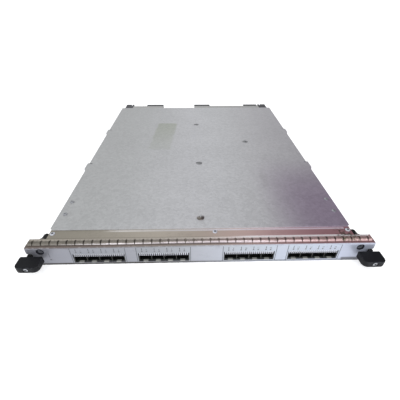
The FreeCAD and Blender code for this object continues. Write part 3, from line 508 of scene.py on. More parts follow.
    def constant(self, colour: Colour) -> Wire:
        """A colour given as linear light.

        Args:
            colour: The colour, which may be brighter than white.

        Returns:
            The colour.
        """
        node = self.add("ShaderNodeRGB")
        node.outputs[0].default_value = (*colour, 1.0)
        return Wire(self, node.outputs[0])


class Group(Graph):
    """A node group in the making. Each takes a Vector, and inputs of its own."""

    def __init__(self, name: str, **inputs: float | Point) -> None:
        """Opens the group.

        Args:
            name: The group's name.
            inputs: The default of each input: a number, or a tuple for a vector.
        """
        super().__init__(bpy.data.node_groups.new(name, "ShaderNodeTree"))
        for label, default in {"Vector": (0.0, 0.0, 0.0), **inputs}.items():
            kind = "NodeSocketVector" if isinstance(default, tuple) else "NodeSocketFloat"
            socket = self.tree.interface.new_socket(name=label, in_out="INPUT", socket_type=kind)
            socket.default_value = default
        self.put = {socket.name: Wire(self, socket) for socket in self.add("NodeGroupInput").outputs}

    def box(self) -> list[list[Wire]]:
        """The point and the two corners of a box, as one row of x, y or z each."""
        return list(zip(*(self.split(self.put[name]) for name in ("Vector", "Low", "High"))))

    def give(self, **results: Wire) -> bpy.types.NodeTree:
        """Closes the group.

        Args:
            results: What each output gives.

        Returns:
            The finished group.
        """
        for label in results:
            self.tree.interface.new_socket(name=label, in_out="OUTPUT", socket_type="NodeSocketFloat")
        self.fill(self.add("NodeGroupOutput"), results)
        return self.tree


class Effects:
    """The effects that more than one finish uses, each a node group built once."""

    def __init__(self) -> None:
        """Builds every group."""
        self.patch = self.build_patch()
        self.zinc_grain = self.build_zinc_grain()
        self.rolled_grain = self.build_rolled_grain()
        self.grime = self.build_grime()
        self.edge_wear = self.build_edge_wear()
        self.moulded_skin = self.build_moulded_skin()

    @staticmethod
    def build_patch() -> bpy.types.NodeTree:
        """A mask that is 1 inside a box and falls off softly past its faces.

        Returns:
            The group: Vector, Low, High, Soft in, Mask out.
        """
        g = Group("patch", Low=(-1.0, -1.0, -1.0), High=(1.0, 1.0, 1.0), Soft=0.001)
        soft, mask = g.put["Soft"], 1.0
        for here, least, most in g.box():
            mask = (g.ease(here - least, soft * -1.0, soft) * g.ease(most - here, soft * -1.0, soft)) * mask
        return g.give(Mask=mask)

    @staticmethod
    def build_zinc_grain() -> bpy.types.NodeTree:
        """The mottle of a zinc coat: small crystals, cloudy drift and a fine speckle.

        Returns:
            The group: Vector, Crystal (cells per metre), Depth in; Tint and Height out, about 1 and 0.
        """
        g = Group("zinc grain", Crystal=300.0, Depth=0.1)
        place = g.vector("ADD", g.put["Vector"], (3.1, 1.7, 0.4))
        shade = g.split(g.cells(g.drift(place, 90.0, 0.004), g.put["Crystal"], "Color"))[0]
        cloud = g.noise(place, 14.0, 4.0, 0.6)
        speck = g.noise(place, 640.0, 3.0, 0.8)
        total = (shade - 0.5) * 0.55 + (cloud - 0.5) * 0.7 + (speck - 0.5) * 1.5
        return g.give(Tint=total * g.put["Depth"] + 1.0, Height=speck * 0.7 + shade * 0.3)

    @staticmethod
    def build_rolled_grain() -> bpy.types.NodeTree:
        """The faint lines that rolling and brushing leave along one direction.

        Returns:
            The group: Vector, Stretch (how much finer across each axis), Depth in; Tint, Height out.
        """
        g = Group("rolled grain", Stretch=(1.0, 1.0, 1.0), Depth=0.1)
        drawn = g.vector("MULTIPLY", g.put["Vector"], g.put["Stretch"])
        both = g.noise(drawn, 240.0, 2.0, 0.5) * 0.4 + g.noise(drawn, 60.0, 4.0, 0.65) * 0.6
        return g.give(Tint=(both - 0.5) * g.put["Depth"] + 1.0, Height=both)

    @staticmethod
    def build_grime() -> bpy.types.NodeTree:
        """Dirt that lies in drifts and spots.

        Returns:
            The group: Vector, Scale, Amount in; Mask out, 0 on clean metal.
        """
        g = Group("grime", Scale=40.0, Amount=0.5)
        place, scale = g.put["Vector"], g.put["Scale"]
        both = g.noise(place, scale * 9.0, 2.0, 0.5) * 0.3 + g.noise(place, scale, 6.0, 0.62) * 0.7
        edge = 0.78 - g.put["Amount"] * 0.5
        return g.give(Mask=g.ease(both, edge, edge + 0.16))

    @staticmethod
    def build_edge_wear() -> bpy.types.NodeTree:
        """Wear near the six outer faces of a piece, where two of them meet.

        Returns:
            The group: Vector, Low, High, Reach in; Mask out.
        """
        g = Group("edge wear", Low=(-1.0, -1.0, -1.0), High=(1.0, 1.0, 1.0), Reach=0.001)
        broken = g.put["Reach"] * g.ease(g.noise(g.put["Vector"], 260.0, 4.0, 0.7), 0.35, 0.7, 0.2, 1.6)
        x, y, z = (1.0 - g.ease(g.math("MINIMUM", here - least, most - here), 0.0, broken)
                   for here, least, most in g.box())
        return g.give(Mask=g.larger(x * y, g.larger(y * z, x * z)))

    @staticmethod
    def build_moulded_skin() -> bpy.types.NodeTree:
        """The fine leathery skin of a plastic moulding.

        Returns:
            The group: Vector, Scale in; Tint and Height out.
        """
        g = Group("moulded skin", Scale=1400.0)
        pebble = g.cells(g.put["Vector"], g.put["Scale"], "Distance", "SMOOTH_F1")
        cloud = g.noise(g.put["Vector"], 70.0, 3.0, 0.5)
        return g.give(Tint=(cloud - 0.5) * 0.5 + 1.0, Height=pebble)


class Canvas(Graph):
    """A material's graph, with the shared effects and the point on the surface in the card's frame."""

    def __init__(self, tree: bpy.types.NodeTree, effects: Effects) -> None:
        """Starts on an empty tree.

        Args:
            tree: The material's tree.
            effects: The shared effects.
        """
        super().__init__(tree)
        self.effects = effects
        self.place = self.node("ShaderNodeTexCoord", {}, "Object")

    def use(self, effect: bpy.types.NodeTree, **feeds: Feed) -> dict[str, Wire]:
        """Places a shared effect.

        Args:
            effect: The node group.
            feeds: What each input gets; the Vector is the point on the surface if it isn't named.

        Returns:
            Its outputs by name.
        """
        node = self.add("ShaderNodeGroup")
        node.node_tree = effect
        self.fill(node, {"Vector": self.place, **feeds})
        return {socket.name: Wire(self, socket) for socket in node.outputs}

    def patch(self, low: Point, high: Point, soft: float, **place: Wire) -> Wire:
        """A mask that is 1 between two corners."""
        return self.use(self.effects.patch, Low=low, High=high, Soft=soft, **place)["Mask"]

    def grime(self, scale: float, amount: float) -> Wire:
        """A mask of drifts and spots of dirt."""
        return self.use(self.effects.grime, Scale=scale, Amount=amount)["Mask"]

    def worn(self, low: Point, high: Point, reach: float) -> Wire:
        """A mask of wear along the edges between two corners."""
        return self.use(self.effects.edge_wear, Low=low, High=high, Reach=reach)["Mask"]


# --- finishes -------------------------------------------------------------------------------------


@dataclass(frozen=True)
class Finish:
    """What every finish shares.

    Attributes:
        name: The material's name.
        colour: Its plain colour, a display tone of 0 to 255.
        rough: Its mean roughness.
        metal: 1 for bare metal, 0 for plastic.
        bump: How deep its relief is, in metres.
    """

    name: str
    colour: Colour
    rough: float = 0.5
    metal: float = 0.0
    bump: float = 0.00002

    def material(self, effects: Effects) -> bpy.types.Material:
        """Builds the material: the shader here, its colour and relief by paint().

        Args:
            effects: The shared effects.

        Returns:
            The finished material.
        """
        material = bpy.data.materials.new(self.name)
        material.use_nodes = True
        material.diffuse_color = (*light(self.colour), 1.0)
        material.node_tree.nodes.clear()
        g = Canvas(material.node_tree, effects)
        colour, rough, height = self.paint(g)
        relief = g.node("ShaderNodeBump", {"Strength": 0.6, "Distance": self.bump, "Height": height})
        shader = g.node("ShaderNodeBsdfPrincipled",
                        {"Base Color": colour, "Roughness": rough, "Metallic": self.metal,
                         "Normal": relief, **self.polish()})
        g.fill(g.add("ShaderNodeOutputMaterial"), {"Surface": shader})
        return material

    def paint(self, g: Canvas) -> Coat:
        """What varies over the surface.

        Args:
            g: The material's canvas.

        Returns:
            Colour, roughness and height.
        """
        raise NotImplementedError

    def polish(self) -> dict[str, Feed]:
        """The shader's inputs that are the same all over; plain finishes need none."""
        return {}


@dataclass(frozen=True)
class ZincSheet(Finish):
    """Galvanised sheet, as on the tray, the brackets and the stiffener.

    Attributes:
        crystal: Crystals per metre.
        mottle: How strongly they show.
        dirt: How much dirt lies on it.
    """

    crystal: float = 260.0
    mottle: float = 0.22
    dirt: float = 0.35

    def paint(self, g: Canvas) -> Coat:
        """Zinc mottle with drifts of grey-brown dirt.

        Args:
            g: The material's canvas.

        Returns:
            Colour, roughness and height.
        """
        grain = g.use(g.effects.zinc_grain, Crystal=self.crystal, Depth=self.mottle)
        dirt = g.grime(22.0, self.dirt)
        colour = g.layers(g.tint(self.colour, grain["Tint"]), (dirt * 0.35, (120, 112, 102)))
        rough = g.ease(grain["Height"], 0.2, 0.9, self.rough - 0.06, self.rough + 0.08)
        return colour, rough + dirt * 0.14, grain["Height"]


@dataclass(frozen=True)
class CoverZinc(ZincSheet):
    """The top cover's zinc, with its drift of tone painted as shading and reflection, its stain, its smear
    and its worn edges.

    Attributes:
        low: The lowest corner of the cover, in metres.
        high: Its highest corner.
    """

    low: Point = (0.0, 0.0, 0.0)
    high: Point = (1.0, 1.0, 1.0)

    def paint(self, g: Canvas) -> Coat:
        """Mottled zinc, cooler and lighter in the middle and darker towards both ends as painted shading,
        with a painted reflection that makes the right front corner darker and violet.

        Args:
            g: The material's canvas.

        Returns:
            Colour, roughness and height.
        """
        grain = g.use(g.effects.zinc_grain, Crystal=self.crystal, Depth=self.mottle)
        across, along, _ = g.split(g.place)
        share = g.ease(across, self.low[0], self.high[0])
        # painted shading: the cover is lighter in the middle and darker towards both ends
        body = g.ramp(share, {0.0: (188, 189, 189), 0.16: (196, 197, 198), 0.42: (208, 208, 211),
                              0.66: (208, 209, 211), 0.86: (206, 206, 208), 1.0: (196, 195, 198)})
        # painted reflection: the right front corner goes darker and violet
        corner = g.ease(share, 0.78, 1.0) * g.ease(g.fade(along, self.low[1], self.high[1]), 0.60, 1.0)
        ragged = g.drift(g.place, 60.0, 0.006)
        lean = g.node("ShaderNodeMapping", {"Vector": ragged, "Rotation": (0.0, 0.0, 0.062)})
        stain = g.patch(at(-87, 239, 20), at(-48, 365, 40), 0.003, Vector=lean)
        grown = g.ease(along, at(0, 236, 0)[1], at(0, 368, 0)[1], 0.30, 0.85)
        dark_patch = g.patch(at(96, 118, 20), at(104, 158, 40), 0.004, Vector=ragged)
        colour = g.tint(g.layers(body, (corner * 0.85, (158, 142, 164))), grain["Tint"])
        colour = g.layers(colour, (stain * grown, g.tint(colour, (232, 236, 222))),
                          (g.larger(dark_patch * 0.5, g.grime(16.0, self.dirt)) * 0.22, (118, 114, 110)),
                          (g.worn(self.low, self.high, 0.0016) * 0.3, (232, 234, 242)))
        rough = g.ease(grain["Height"], 0.2, 0.9, self.rough - 0.05, self.rough + 0.07)
        return colour, rough + stain * 0.06, grain["Height"]


@dataclass(frozen=True)
class FaceplateZinc(Finish):
    """The faceplate: cool satin zinc in front, a warmer passivated tone on its top flange.

    Attributes:
        low: The lowest corner of the faceplate, in metres.
        high: Its highest corner.
        groups: The middle of each cage window along X, in metres.
        cover: Where the top cover starts along Y, in metres.
        panel: Half the width of the paler panel round each window, in metres.
    """

    low: Point = (0.0, 0.0, 0.0)
    high: Point = (1.0, 1.0, 1.0)
    groups: tuple[float, ...] = ()
    cover: float = 0.0
    panel: float = 30.6 * MM

    def strip(self, g: Canvas, start: float, end: float, soft: float, left: float = -1.0,
              right: float = 1.0) -> Wire:
        """A mask of a strip of the flange, from left to right.

        Args:
            g: The material's canvas.
            start: How far behind the plate's front it starts, in millimetres.
            end: How far behind it ends.
            soft: How soft its edges are, in millimetres.
            left: Its left end in metres.
            right: Its right end in metres.

        Returns:
            The mask.
        """
        return g.patch((left, self.low[1] + start * MM, FLANGE_LEVEL),
                       (right, self.low[1] + end * MM, 1.0), soft * MM)

    def paint(self, g: Canvas) -> Coat:
        """Front and flange tones with painted reflection in them, paler panels, painted shadow lines and a
        painted sheen along the flange where the gasket and the cover lie on it, a pale painted highlight line
        before the cover, a bruise near the right end, a foot darkened as painted shade with a darker patch at
        its right end and a little dirt, painted shade on the sill and worn edges.

        Args:
            g: The material's canvas.

        Returns:
            Colour, roughness and height.
        """
        across = g.split(g.place)[0]
        share = g.ease(across, self.low[0], self.high[0])
        # painted reflection: the front is darker at the left end and lighter towards the right
        front = g.ramp(share, {0.0: (140, 141, 150), 0.3: (150, 152, 158), 0.55: (171, 173, 181),
                               0.8: (185, 191, 203), 1.0: (182, 187, 204)})
        # the flange's own brownish zinc, with painted reflection in how its tone changes along the card,
        # palest and pinkest in the right half
        flange = g.ramp(share, {0.0: (141, 136, 124), 0.3: (197, 188, 175), 0.5: (172, 161, 150),
                                0.68: (212, 186, 178), 0.84: (184, 146, 150), 1.0: (150, 106, 112)})
        # tone of the painted highlight line on the flange before the cover
        rubbed = g.ramp(share, {0.2: (232, 228, 224), 0.34: (204, 200, 198), 0.5: (218, 215, 220),
                                0.7: (232, 226, 232), 0.9: (220, 206, 216)})
        colour = g.mix(self.strip(g, 1.2, 1000.0, 0.5), front, flange)
        for centre in self.groups:
            panel = g.patch((centre - self.panel, -1.0, SILL_LEVEL),
                            (centre + self.panel, self.low[1] + 0.0011, 0.0268), 0.00025)
            colour = g.layers(colour, (panel * 0.55, g.tint(colour, (250, 253, 250))))
        behind = (self.cover - self.low[1]) / MM
        grain = g.use(g.effects.rolled_grain, Stretch=(0.25, 6.0, 6.0), Depth=0.22)
        # painted shade: the plate's foot is darkened, most at the left
        foot = g.patch((-1.0, -1.0, -1.0), (1.0, 1.0, 0.0029), 0.0006)
        # a darker patch at the right end of the foot, below the right grip
        dark_patch = g.patch(at(164, -2, -4), at(186, 2, 5.4), 0.0014)
        # dark holds the painted shade of the foot, the darker patch and a little real dirt
        dark = g.larger(foot * g.ease(share, 0.2, 0.7, 0.95, 0.5),
                        g.larger(dark_patch * 0.75, g.grime(55.0, 0.5) * 0.12))
        bruise = g.patch(at(160, 10, 20), at(177, 25, 40), 0.004)
        mottle = g.ease(g.noise(g.place, 260.0, 3.0, 0.6), 0.45, 0.58)
        # painted shade: the sill of each window is painted near black
        sill = g.patch((-1.0, self.low[1] + 0.0001, SILL_LEVEL), (1.0, self.low[1] + 0.0030, 0.0036), 0.00005)
        colour = g.layers(
            g.tint(colour, grain["Tint"]),
            (self.strip(g, 0.2, 3.6, 0.6) * g.ease(share, 0.0, 0.75, 0.8, 0.25), (104, 90, 84)),
            # painted shadow along the front foot of the gasket
            (self.strip(g, 2.8, 5.0, 0.4) * g.ease(share, 0.60, 0.72, 0.55, 0.35), (72, 58, 54)),
            # painted shadow behind the gasket's rear foot, in the left half
            (self.strip(g, 13.4, 15.2, 0.6) * g.fade(share, 0.5, 0.62, 0.35), (84, 78, 70)),
            # painted highlight: a pale sheen on the flange behind the gasket, in the right half
            (self.strip(g, 12.2, 15.2, 0.6, 0.020, 0.168) * g.ease(across, 0.030, 0.060), (255, 246, 248)),
            # painted highlight: a pale line on the flange just in front of the cover's edge
            (self.strip(g, behind - 3.4, behind - 0.8, 0.8, -0.172, 0.172)
             * g.ease(share, 0.10, 0.16, 0.0, 0.92), rubbed),
            (bruise * mottle * 0.85, (70, 62, 50)), (dark, (52, 48, 44)), (sill * 0.9, (20, 20, 20)),
            (g.worn(self.low, self.high, 0.0012) * 0.4, (224, 226, 230)))
        rough = g.ease(grain["Height"], 0.2, 0.8, self.rough - 0.05, self.rough + 0.08)
        return colour, rough, grain["Height"]


@dataclass(frozen=True)
class SpringMetal(Finish):
    """Tinned spring strip, as on the finger gaskets.

    Attributes:
        left: The tone at the card's left end.
        right: The tone at its right end.
    """

    left: Colour = (188, 188, 188)
    right: Colour = (188, 188, 188)

    def paint(self, g: Canvas) -> Coat:
        """A tone that changes from left to right, partly the metal's own and partly painted light that grows
        stronger to the right, brushed across, with tarnish in patches.

        Args:
            g: The material's canvas.

        Returns:
            Colour, roughness and height.
        """
        share = g.ease(g.split(g.place)[0], -CARD_HALF, CARD_HALF)
        # partly painted light: the strip is lit more strongly towards the right
        body = g.ramp(share, {0.0: self.left, 0.45: self.colour, 0.7: half_way(self.colour, self.right),
                              1.0: self.right})
        grain = g.use(g.effects.rolled_grain, Stretch=(5.0, 1.0, 1.0), Depth=0.35)
        dirt = g.grime(70.0, 0.55)
        colour = g.layers(g.tint(body, grain["Tint"]), (dirt * 0.35, (92, 88, 76)))
        return colour, g.ease(dirt, 0.0, 1.0, self.rough, self.rough + 0.2), grain["Height"]


@dataclass(frozen=True)
class FingerSpring(SpringMetal):
    """The long finger gasket: a painted highlight on the front of each arch, painted shade behind its crest.

    Attributes:
        start: Where the strip starts along Y, in metres.
        level: The level of its foot.
    """

    start: float = 0.0
    level: float = 0.0

    def paint(self, g: Canvas) -> Coat:
        """Painted highlights on the fronts, a band of painted shade over the crest, darker still beside every
        slit, a painted sheen on the rear slope and a brighter painted highlight on the rear foot, the front's
        foot sunk in painted shadow, and a bruise near the right end.

        Args:
            g: The material's canvas.

        Returns:
            Colour, roughness and height.
        """
        colour, rough, height = super().paint(g)
        across, along, up = g.split(g.place)
        share = g.ease(across, -CARD_HALF, CARD_HALF)
        deep = along - self.start + (g.noise(g.place, 130.0, 2.0, 0.6) - 0.5) * 0.0012
        edge = g.ease(share, 0.08, 0.62, 0.0003, 0.0012) + g.ease(share, 0.68, 0.80, 0.0, -0.0006)
        past = g.ease(deep, edge, edge + 0.0006)
        band = past * g.fade(deep, 0.0034, 0.0044)
        beside = g.fade(g.stagger(across, FINGER_PITCH), 0.0006, 0.0018)
        # painted shade over the crest, darker beside every slit
        shade = g.larger(band * 0.4, beside * past * g.fade(deep, 0.0040, 0.0052) * 0.85)
        # painted highlight on the front of each arch
        rubbed = g.ramp(share, {0.03: (138, 133, 126), 0.11: (250, 244, 248), 0.2: (250, 242, 246),
                                0.33: (180, 172, 176), 0.66: (186, 174, 178), 0.75: (218, 202, 206),
                                0.84: (198, 178, 180), 0.93: (196, 164, 164)})
        # painted sheen on the rear slope
        pale = g.ramp(share, {0.0: (176, 168, 156), 0.47: (200, 192, 180), 0.62: (250, 238, 234),
                              0.85: (250, 232, 234), 0.95: (180, 150, 148)})
        # painted highlight on the rear foot
        tail = g.ease(deep, 0.0074, 0.0080) * g.ease(across, 0.030, 0.060)
        centre = g.ease(share, 0.1, 0.4) * g.fade(share, 0.55, 0.68)
        depth = g.ease(centre, 0.0, 1.0, self.level + 0.0005, self.level + 0.0011)
        sunk = g.fade(up, self.level + 0.0002, depth) * g.fade(deep, 0.0016, 0.0020)
        bruise = g.patch(at(158, -5, 20), at(181, 20, 40), 0.003)
        mottle = g.ease(g.noise(g.place, 420.0, 2.0, 0.6), 0.42, 0.6)
        colour = g.layers(colour, ((1.0 - past) * 0.9, rubbed), (g.ease(deep, 0.0040, 0.0048) * 0.8, pale),
                          (tail, (255, 252, 252)), (shade, (66, 60, 54)),
                          (sunk * g.fade(share, 0.62, 0.70) * 0.7, (66, 54, 50)),
                          (bruise * mottle * 0.8, (84, 84, 62)))
        return colour, rough + shade * 0.3, height


@dataclass(frozen=True)
class CageSpring(SpringMetal):
    """The small finger strip over a cage, with painted shade in the gaps between its fingers.

    Attributes:
        centre: The middle of the strip along X, in metres.
    """

    centre: float = 0.0

    def paint(self, g: Canvas) -> Coat:
        """Light fingers with a line of painted shade in each gap.

        Args:
            g: The material's canvas.

        Returns:
            Colour, roughness and height.
        """
        colour, rough, height = super().paint(g)
        beside = g.stagger(g.split(g.place)[0] - self.centre, SMALL_FINGER_PITCH)
        # painted shade in each gap between the fingers
        return g.layers(colour, (g.fade(beside, 0.00036, 0.00062) * 0.9, (26, 26, 28))), rough, height


@dataclass(frozen=True)
class CagePlate(Finish):
    """The nickel plate of the cages, painted most of the way to black as shade, and almost black inside their
    tunnels.

    Attributes:
        low: The lowest corner of the cage, in metres.
        high: Its highest corner.
    """

    low: Point = (0.0, 0.0, 0.0)
    high: Point = (1.0, 1.0, 1.0)

    def paint(self, g: Canvas) -> Coat:
        """Walls painted dark as shade and almost black inside, a bright latch tongue under each mouth left
        out of that shade, and along the front of the roof pale painted light in the shape of the spring's
        fingers, with painted shade in their gaps.

        Args:
            g: The material's canvas.

        Returns:
            Colour, roughness and height.
        """
        across, along, up = g.split(g.place)
        grain = g.use(g.effects.rolled_grain, Stretch=(1.0, 5.0, 5.0), Depth=0.2)
        away = across - (self.low[0] + self.high[0]) / 2
        deep = along - self.low[1]
        # painted shade: the tunnels go almost black with depth
        inside = g.ease(deep, 0.0001, 0.0010) * g.fade(up, 0.0128, 0.0133)
        half = PORT_PITCH / 2
        tongue = (g.ease(g.stagger(away, PORT_PITCH), half - 0.0029, half - 0.0027)
                  * g.fade(up, self.low[2] + 0.0004, self.low[2] + 0.0006) * g.fade(deep, 0.0018, 0.0024))
        # painted light along the roof's front: pale fingers with painted shade in the gaps
        finger = g.mix(g.ease(g.stagger(away, SMALL_FINGER_PITCH), 0.00036, 0.00062), (40, 40, 44),
                       (232, 234, 242))
        roof = g.ease(up, self.high[2] - 0.0006, self.high[2] - 0.0004) * g.fade(deep, 0.0030, 0.0040)
        # the whole cage, but for each tongue, is painted at least 80% of the way to black as shade
        colour = g.layers(g.tint(self.colour, grain["Tint"]),
                          ((1.0 - tongue) * g.larger(inside * 0.995, 0.8), (8, 8, 7)), (roof, finger))
        return colour, g.ease(inside, 0.0, 1.0, self.rough, 0.6), grain["Height"]


@dataclass(frozen=True)
class MouldedPlastic(Finish):
    """A plastic moulding with a fine skin and rubbed edges.

    Attributes:
        skin: Pebbles per metre.
        low: The lowest corner of the piece, in metres.
        high: Its highest corner.
        rub: How far the rubbing reaches in from the edges.
        rubbed: The tone of rubbed plastic.
        gloss: How strongly it mirrors, 0.5 being usual for plastic.
    """

    skin: float = 1500.0
    low: Point = (-9.0, -9.0, -9.0)
    high: Point = (9.0, 9.0, 9.0)
    rub: float = 0.001
    rubbed: Colour = (89, 89, 89)
    gloss: float = 0.3

    def paint(self, g: Canvas) -> Coat:
        """Cloudy plastic with paler rubbed edges and a little dust.

        Args:
            g: The material's canvas.

        Returns:
            Colour, roughness and height.
        """
        skin = g.use(g.effects.moulded_skin, Scale=self.skin)
        worn = g.worn(self.low, self.high, self.rub)
        dust = g.grime(120.0, 0.3)
        colour = g.layers(g.tint(self.colour, skin["Tint"]), (worn * 0.7, self.rubbed),
                          (dust * 0.08, (150, 148, 144)))
        rough = g.ease(worn, 0.0, 1.0, self.rough, self.rough - 0.12)
        return colour, rough + dust * 0.15, skin["Height"]

    def polish(self) -> dict[str, Feed]:
        """Dull black mouldings throw back little of the room."""
        return {"Specular IOR Level": self.gloss}


@dataclass(frozen=True)
class PlatedMetal(Finish):
    """Plated or cast small metal: screws, sleeves, sinks, castings and contacts.

    Attributes:
        dirt: How much dirt lies in it.
        stain: The tone of that dirt.
    """

    dirt: float = 0.4
    stain: Colour = (89, 85, 80)

    def paint(self, g: Canvas) -> Coat:
        """A lightly clouded plate with dirt in patches.

        Args:
            g: The material's canvas.

        Returns:
            Colour, roughness and height.
        """
        grain = g.use(g.effects.zinc_grain, Crystal=900.0, Depth=0.3)
        dirt = g.grime(160.0, self.dirt)
        colour = g.layers(g.tint(self.colour, grain["Tint"]), (dirt * 0.4, self.stain))
        return colour, g.ease(dirt, 0.0, 1.0, self.rough, self.rough + 0.25), grain["Height"]


@dataclass(frozen=True)
class RingedPlate(PlatedMetal):
    """The plate of a screw whose recess is painted dark as shade, with a plain ring round it.

    Attributes:
        centres: A point on the axis of each screw.
        reach: The radius of its head.
        plane: 1 for the two directions across the axis, 0 along it.
    """

    centres: tuple[Point, ...] = ()
    reach: float = 0.0028
    plane: Point = (1.0, 0.0, 1.0)

    def paint(self, g: Canvas) -> Coat:
        """Plate that darkens within half of the head's radius, as painted shade in the recess.

        Args:
            g: The material's canvas.

        Returns:
            Colour, roughness and height.
        """
        colour, rough, height = super().paint(g)
        for centre in self.centres:
            away = g.vector("MULTIPLY", g.vector("SUBTRACT", g.place, centre), self.plane)
            x, y, z = g.split(g.vector("MULTIPLY", away, away))
            # painted shade in the screw's recess
            inner = g.fade(x + y + z, (self.reach * 0.30) ** 2, (self.reach * 0.58) ** 2, 0.85)
            colour = g.layers(colour, (inner, self.stain))
        return colour, rough, height


@dataclass(frozen=True)
class DomePlate(PlatedMetal):
    """The plate of the domed screw, with a brown painted reflection darkening the half that faces the
    faceplate.

    Attributes:
        centre: The screw's middle along Y, in metres.
        reach: Its radius.
    """

    centre: float = 0.0
    reach: float = 0.004

    def paint(self, g: Canvas) -> Coat:
        """Plate with a darker brown painted reflection that grows to the front.

        Args:
            g: The material's canvas.

        Returns:
            Colour, roughness and height.
        """
        colour, rough, height = super().paint(g)
        # painted reflection: the front half goes darker brown
        share = g.fade(g.split(g.place)[1], self.centre - self.reach * 0.5,
                       self.centre + self.reach * 0.4, 0.8)
        return g.layers(colour, (share, self.stain)), rough, height


@dataclass(frozen=True)
class ClearMoulding(Finish):
    """The clear plastic of the light pipes and the status lens."""

    def paint(self, g: Canvas) -> Coat:
        """A milky clear plastic, cloudier in places.

        Args:
            g: The material's canvas.

        Returns:
            Colour, roughness and height.
        """
        cloud = g.noise(g.place, 300.0, 2.0, 0.5)
        colour = g.layers(self.colour, (g.ease(cloud, 0.3, 0.7, 0.0, 0.12), (190, 192, 190)))
        return colour, g.ease(cloud, 0.3, 0.7, self.rough, self.rough + 0.1), cloud

    def polish(self) -> dict[str, Feed]:
        """Lets some light through and gives it plastic's index."""
        return {"Transmission Weight": 0.2, "IOR": 1.49}


@dataclass(frozen=True)
class BoardLaminate(Finish):
    """The circuit board: green solder mask over copper runs, with tinned pads.

    Attributes:
        copper: The tone of the runs under the mask.
        pad: The tone of the pads.
        lane: The step of the runs in metres.
    """

    copper: Colour = (40, 104, 62)
    pad: Colour = (196, 190, 160)
    lane: float = 1.6 * MM

    def paint(self, g: Canvas) -> Coat:
        """Runs in square turns under the mask and a scatter of small pads, black ground under the cages.

        Args:
            g: The material's canvas.

        Returns:
            Colour, roughness and height.
        """
        lane = g.noise(g.vector("SNAP", g.place, (self.lane, self.lane, 1.0)), 55.0, 1.0, 0.4)
        across, along, _ = g.split(g.place)
        turn = g.ease(lane, 0.47, 0.53)
        rows, columns = (g.math("SINE", way * 5200.0) for way in (across, along))
        run = g.ease(rows * turn + columns * (1.0 - turn), 0.1, 0.5)
        pads = g.fade(g.cells(g.place, 420.0, "Distance"), 0.12, 0.2) * g.ease(lane, 0.52, 0.56)
        colour = g.layers(self.colour, (run, self.copper), (pads, self.pad),
                          (g.fade(along, at(0, 46, 0)[1], at(0, 52, 0)[1], 0.9), (9, 11, 10)))
        return colour, g.ease(pads, 0.0, 1.0, self.rough, 0.25), g.larger(run, pads)

    def polish(self) -> dict[str, Feed]:
        """The solder mask is glossy."""
        return {"Coat Weight": 0.3, "Coat Roughness": 0.2}


@dataclass(frozen=True)
class PrintedInk(Finish):
    """Screen-printed ink, thin and a little broken."""

    def paint(self, g: Canvas) -> Coat:
        """Grey ink that lets the metal show where it is rubbed.

        Args:
            g: The material's canvas.

        Returns:
            Colour, roughness and height.
        """
        rubbed = g.ease(g.noise(g.place, 700.0, 3.0, 0.6), 0.55, 0.8)
        colour = g.layers(self.colour, (rubbed * 0.4, (150, 152, 158)))
        return colour, g.ease(rubbed, 0.0, 1.0, self.rough, 0.4), rubbed


@dataclass(frozen=True)
class FloorPaint(Finish):
    """The plain pale floor of the studio.

    Attributes:
        glow: How much light it gives of its own.
    """

    glow: float = 0.5

    def paint(self, g: Canvas) -> Coat:
        """A plain pale tone with the faintest cloud.

        Args:
            g: The material's canvas.

        Returns:
            Colour, roughness and height.
        """
        cloud = g.noise(g.place, 3.0, 2.0, 0.5)
        return g.layers(self.colour, (cloud, (250, 250, 250))), self.rough, cloud

    def polish(self) -> dict[str, Feed]:
        """Makes it glow a little and takes its gloss off."""
        return {"Emission Color": (255, 255, 255), "Emission Strength": self.glow, "Specular IOR Level": 0.0}


# --- the card -------------------------------------------------------------------------------------


@dataclass
class Part:
    """A part of the card that gets its finishes here.

    Attributes:
        effects: The shared effects.
    """

    effects: Effects

    def coat(self, finish: Finish, *nodes: str) -> bpy.types.Material:
        """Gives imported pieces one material.

        Args:
            finish: Their finish.
            nodes: The pieces' names.

        Returns:
            The material.
        """
        material = finish.material(self.effects)
        for node in nodes:
            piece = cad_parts[node]
            piece.data.materials.clear()
            piece.data.materials.append(material)
            LOG.info("%s: %s", node, material.name)
        return material

    @staticmethod
    def settle(piece: bpy.types.Object, material: bpy.types.Material, slot: str,
               body: Body = Body.CARD) -> None:
        """Finishes a new piece.

        Args:
            piece: The new piece.
            material: Its material.
            slot: A material slot's name; not used.
            body: The body that carries it.
        """
        piece.data.materials.clear()
        piece.data.materials.append(material)
        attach(piece, body.value)
        LOG.info("%s: %d faces, %s, on %s", piece.name, len(piece.data.polygons), material.name, body.value)


@dataclass
class Tray(Part):
    """The folded tray, its brackets and the stiffener."""

    def dress(self) -> None:
        """Galvanised finishes, dark on the brackets."""
        self.coat(ZincSheet("tray_zinc", (166, 167, 170), 0.46, 0.85, 0.00003), "base_pan", "cover_pillars")
        self.coat(ZincSheet("bracket_zinc", (92, 88, 84), 0.5, 0.8, 0.00003, 400.0, 0.2, 0.6),
                  *(f"ejector_bracket_{side.word}" for side in Side))
        self.coat(ZincSheet("stiffener_zinc", (188, 188, 186), 0.42, 0.85, 0.00003), "rear_stiffener")


@dataclass
class Cover(Part):
    """The top cover and its screws."""

    def dress(self) -> None:
        """The cover's own zinc and bright screws."""
        self.coat(CoverZinc("cover_zinc", (180, 181, 183), 0.44, 0.72, 0.00003, 300.0, 0.26, 0.30,
                            *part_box("top_cover")), "top_cover")
        self.coat(PlatedMetal("middle_screw_plate", (158, 159, 160), 0.42, 0.8, 0.00002, 0.3),
                  "cover_middle_screws")
        low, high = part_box("cover_dome_screw")
        self.coat(DomePlate("dome_screw_plate", (206, 206, 208), 0.24, 1.0, 0.00001, 0.2, (96, 84, 70),
                            (low.y + high.y) / 2, (high.y - low.y) / 2), "cover_dome_screw")
        self.coat(PlatedMetal("edge_screw_plate", (176, 178, 182), 0.35, 0.9, 0.00001, 0.4),
                  "cover_edge_screws")


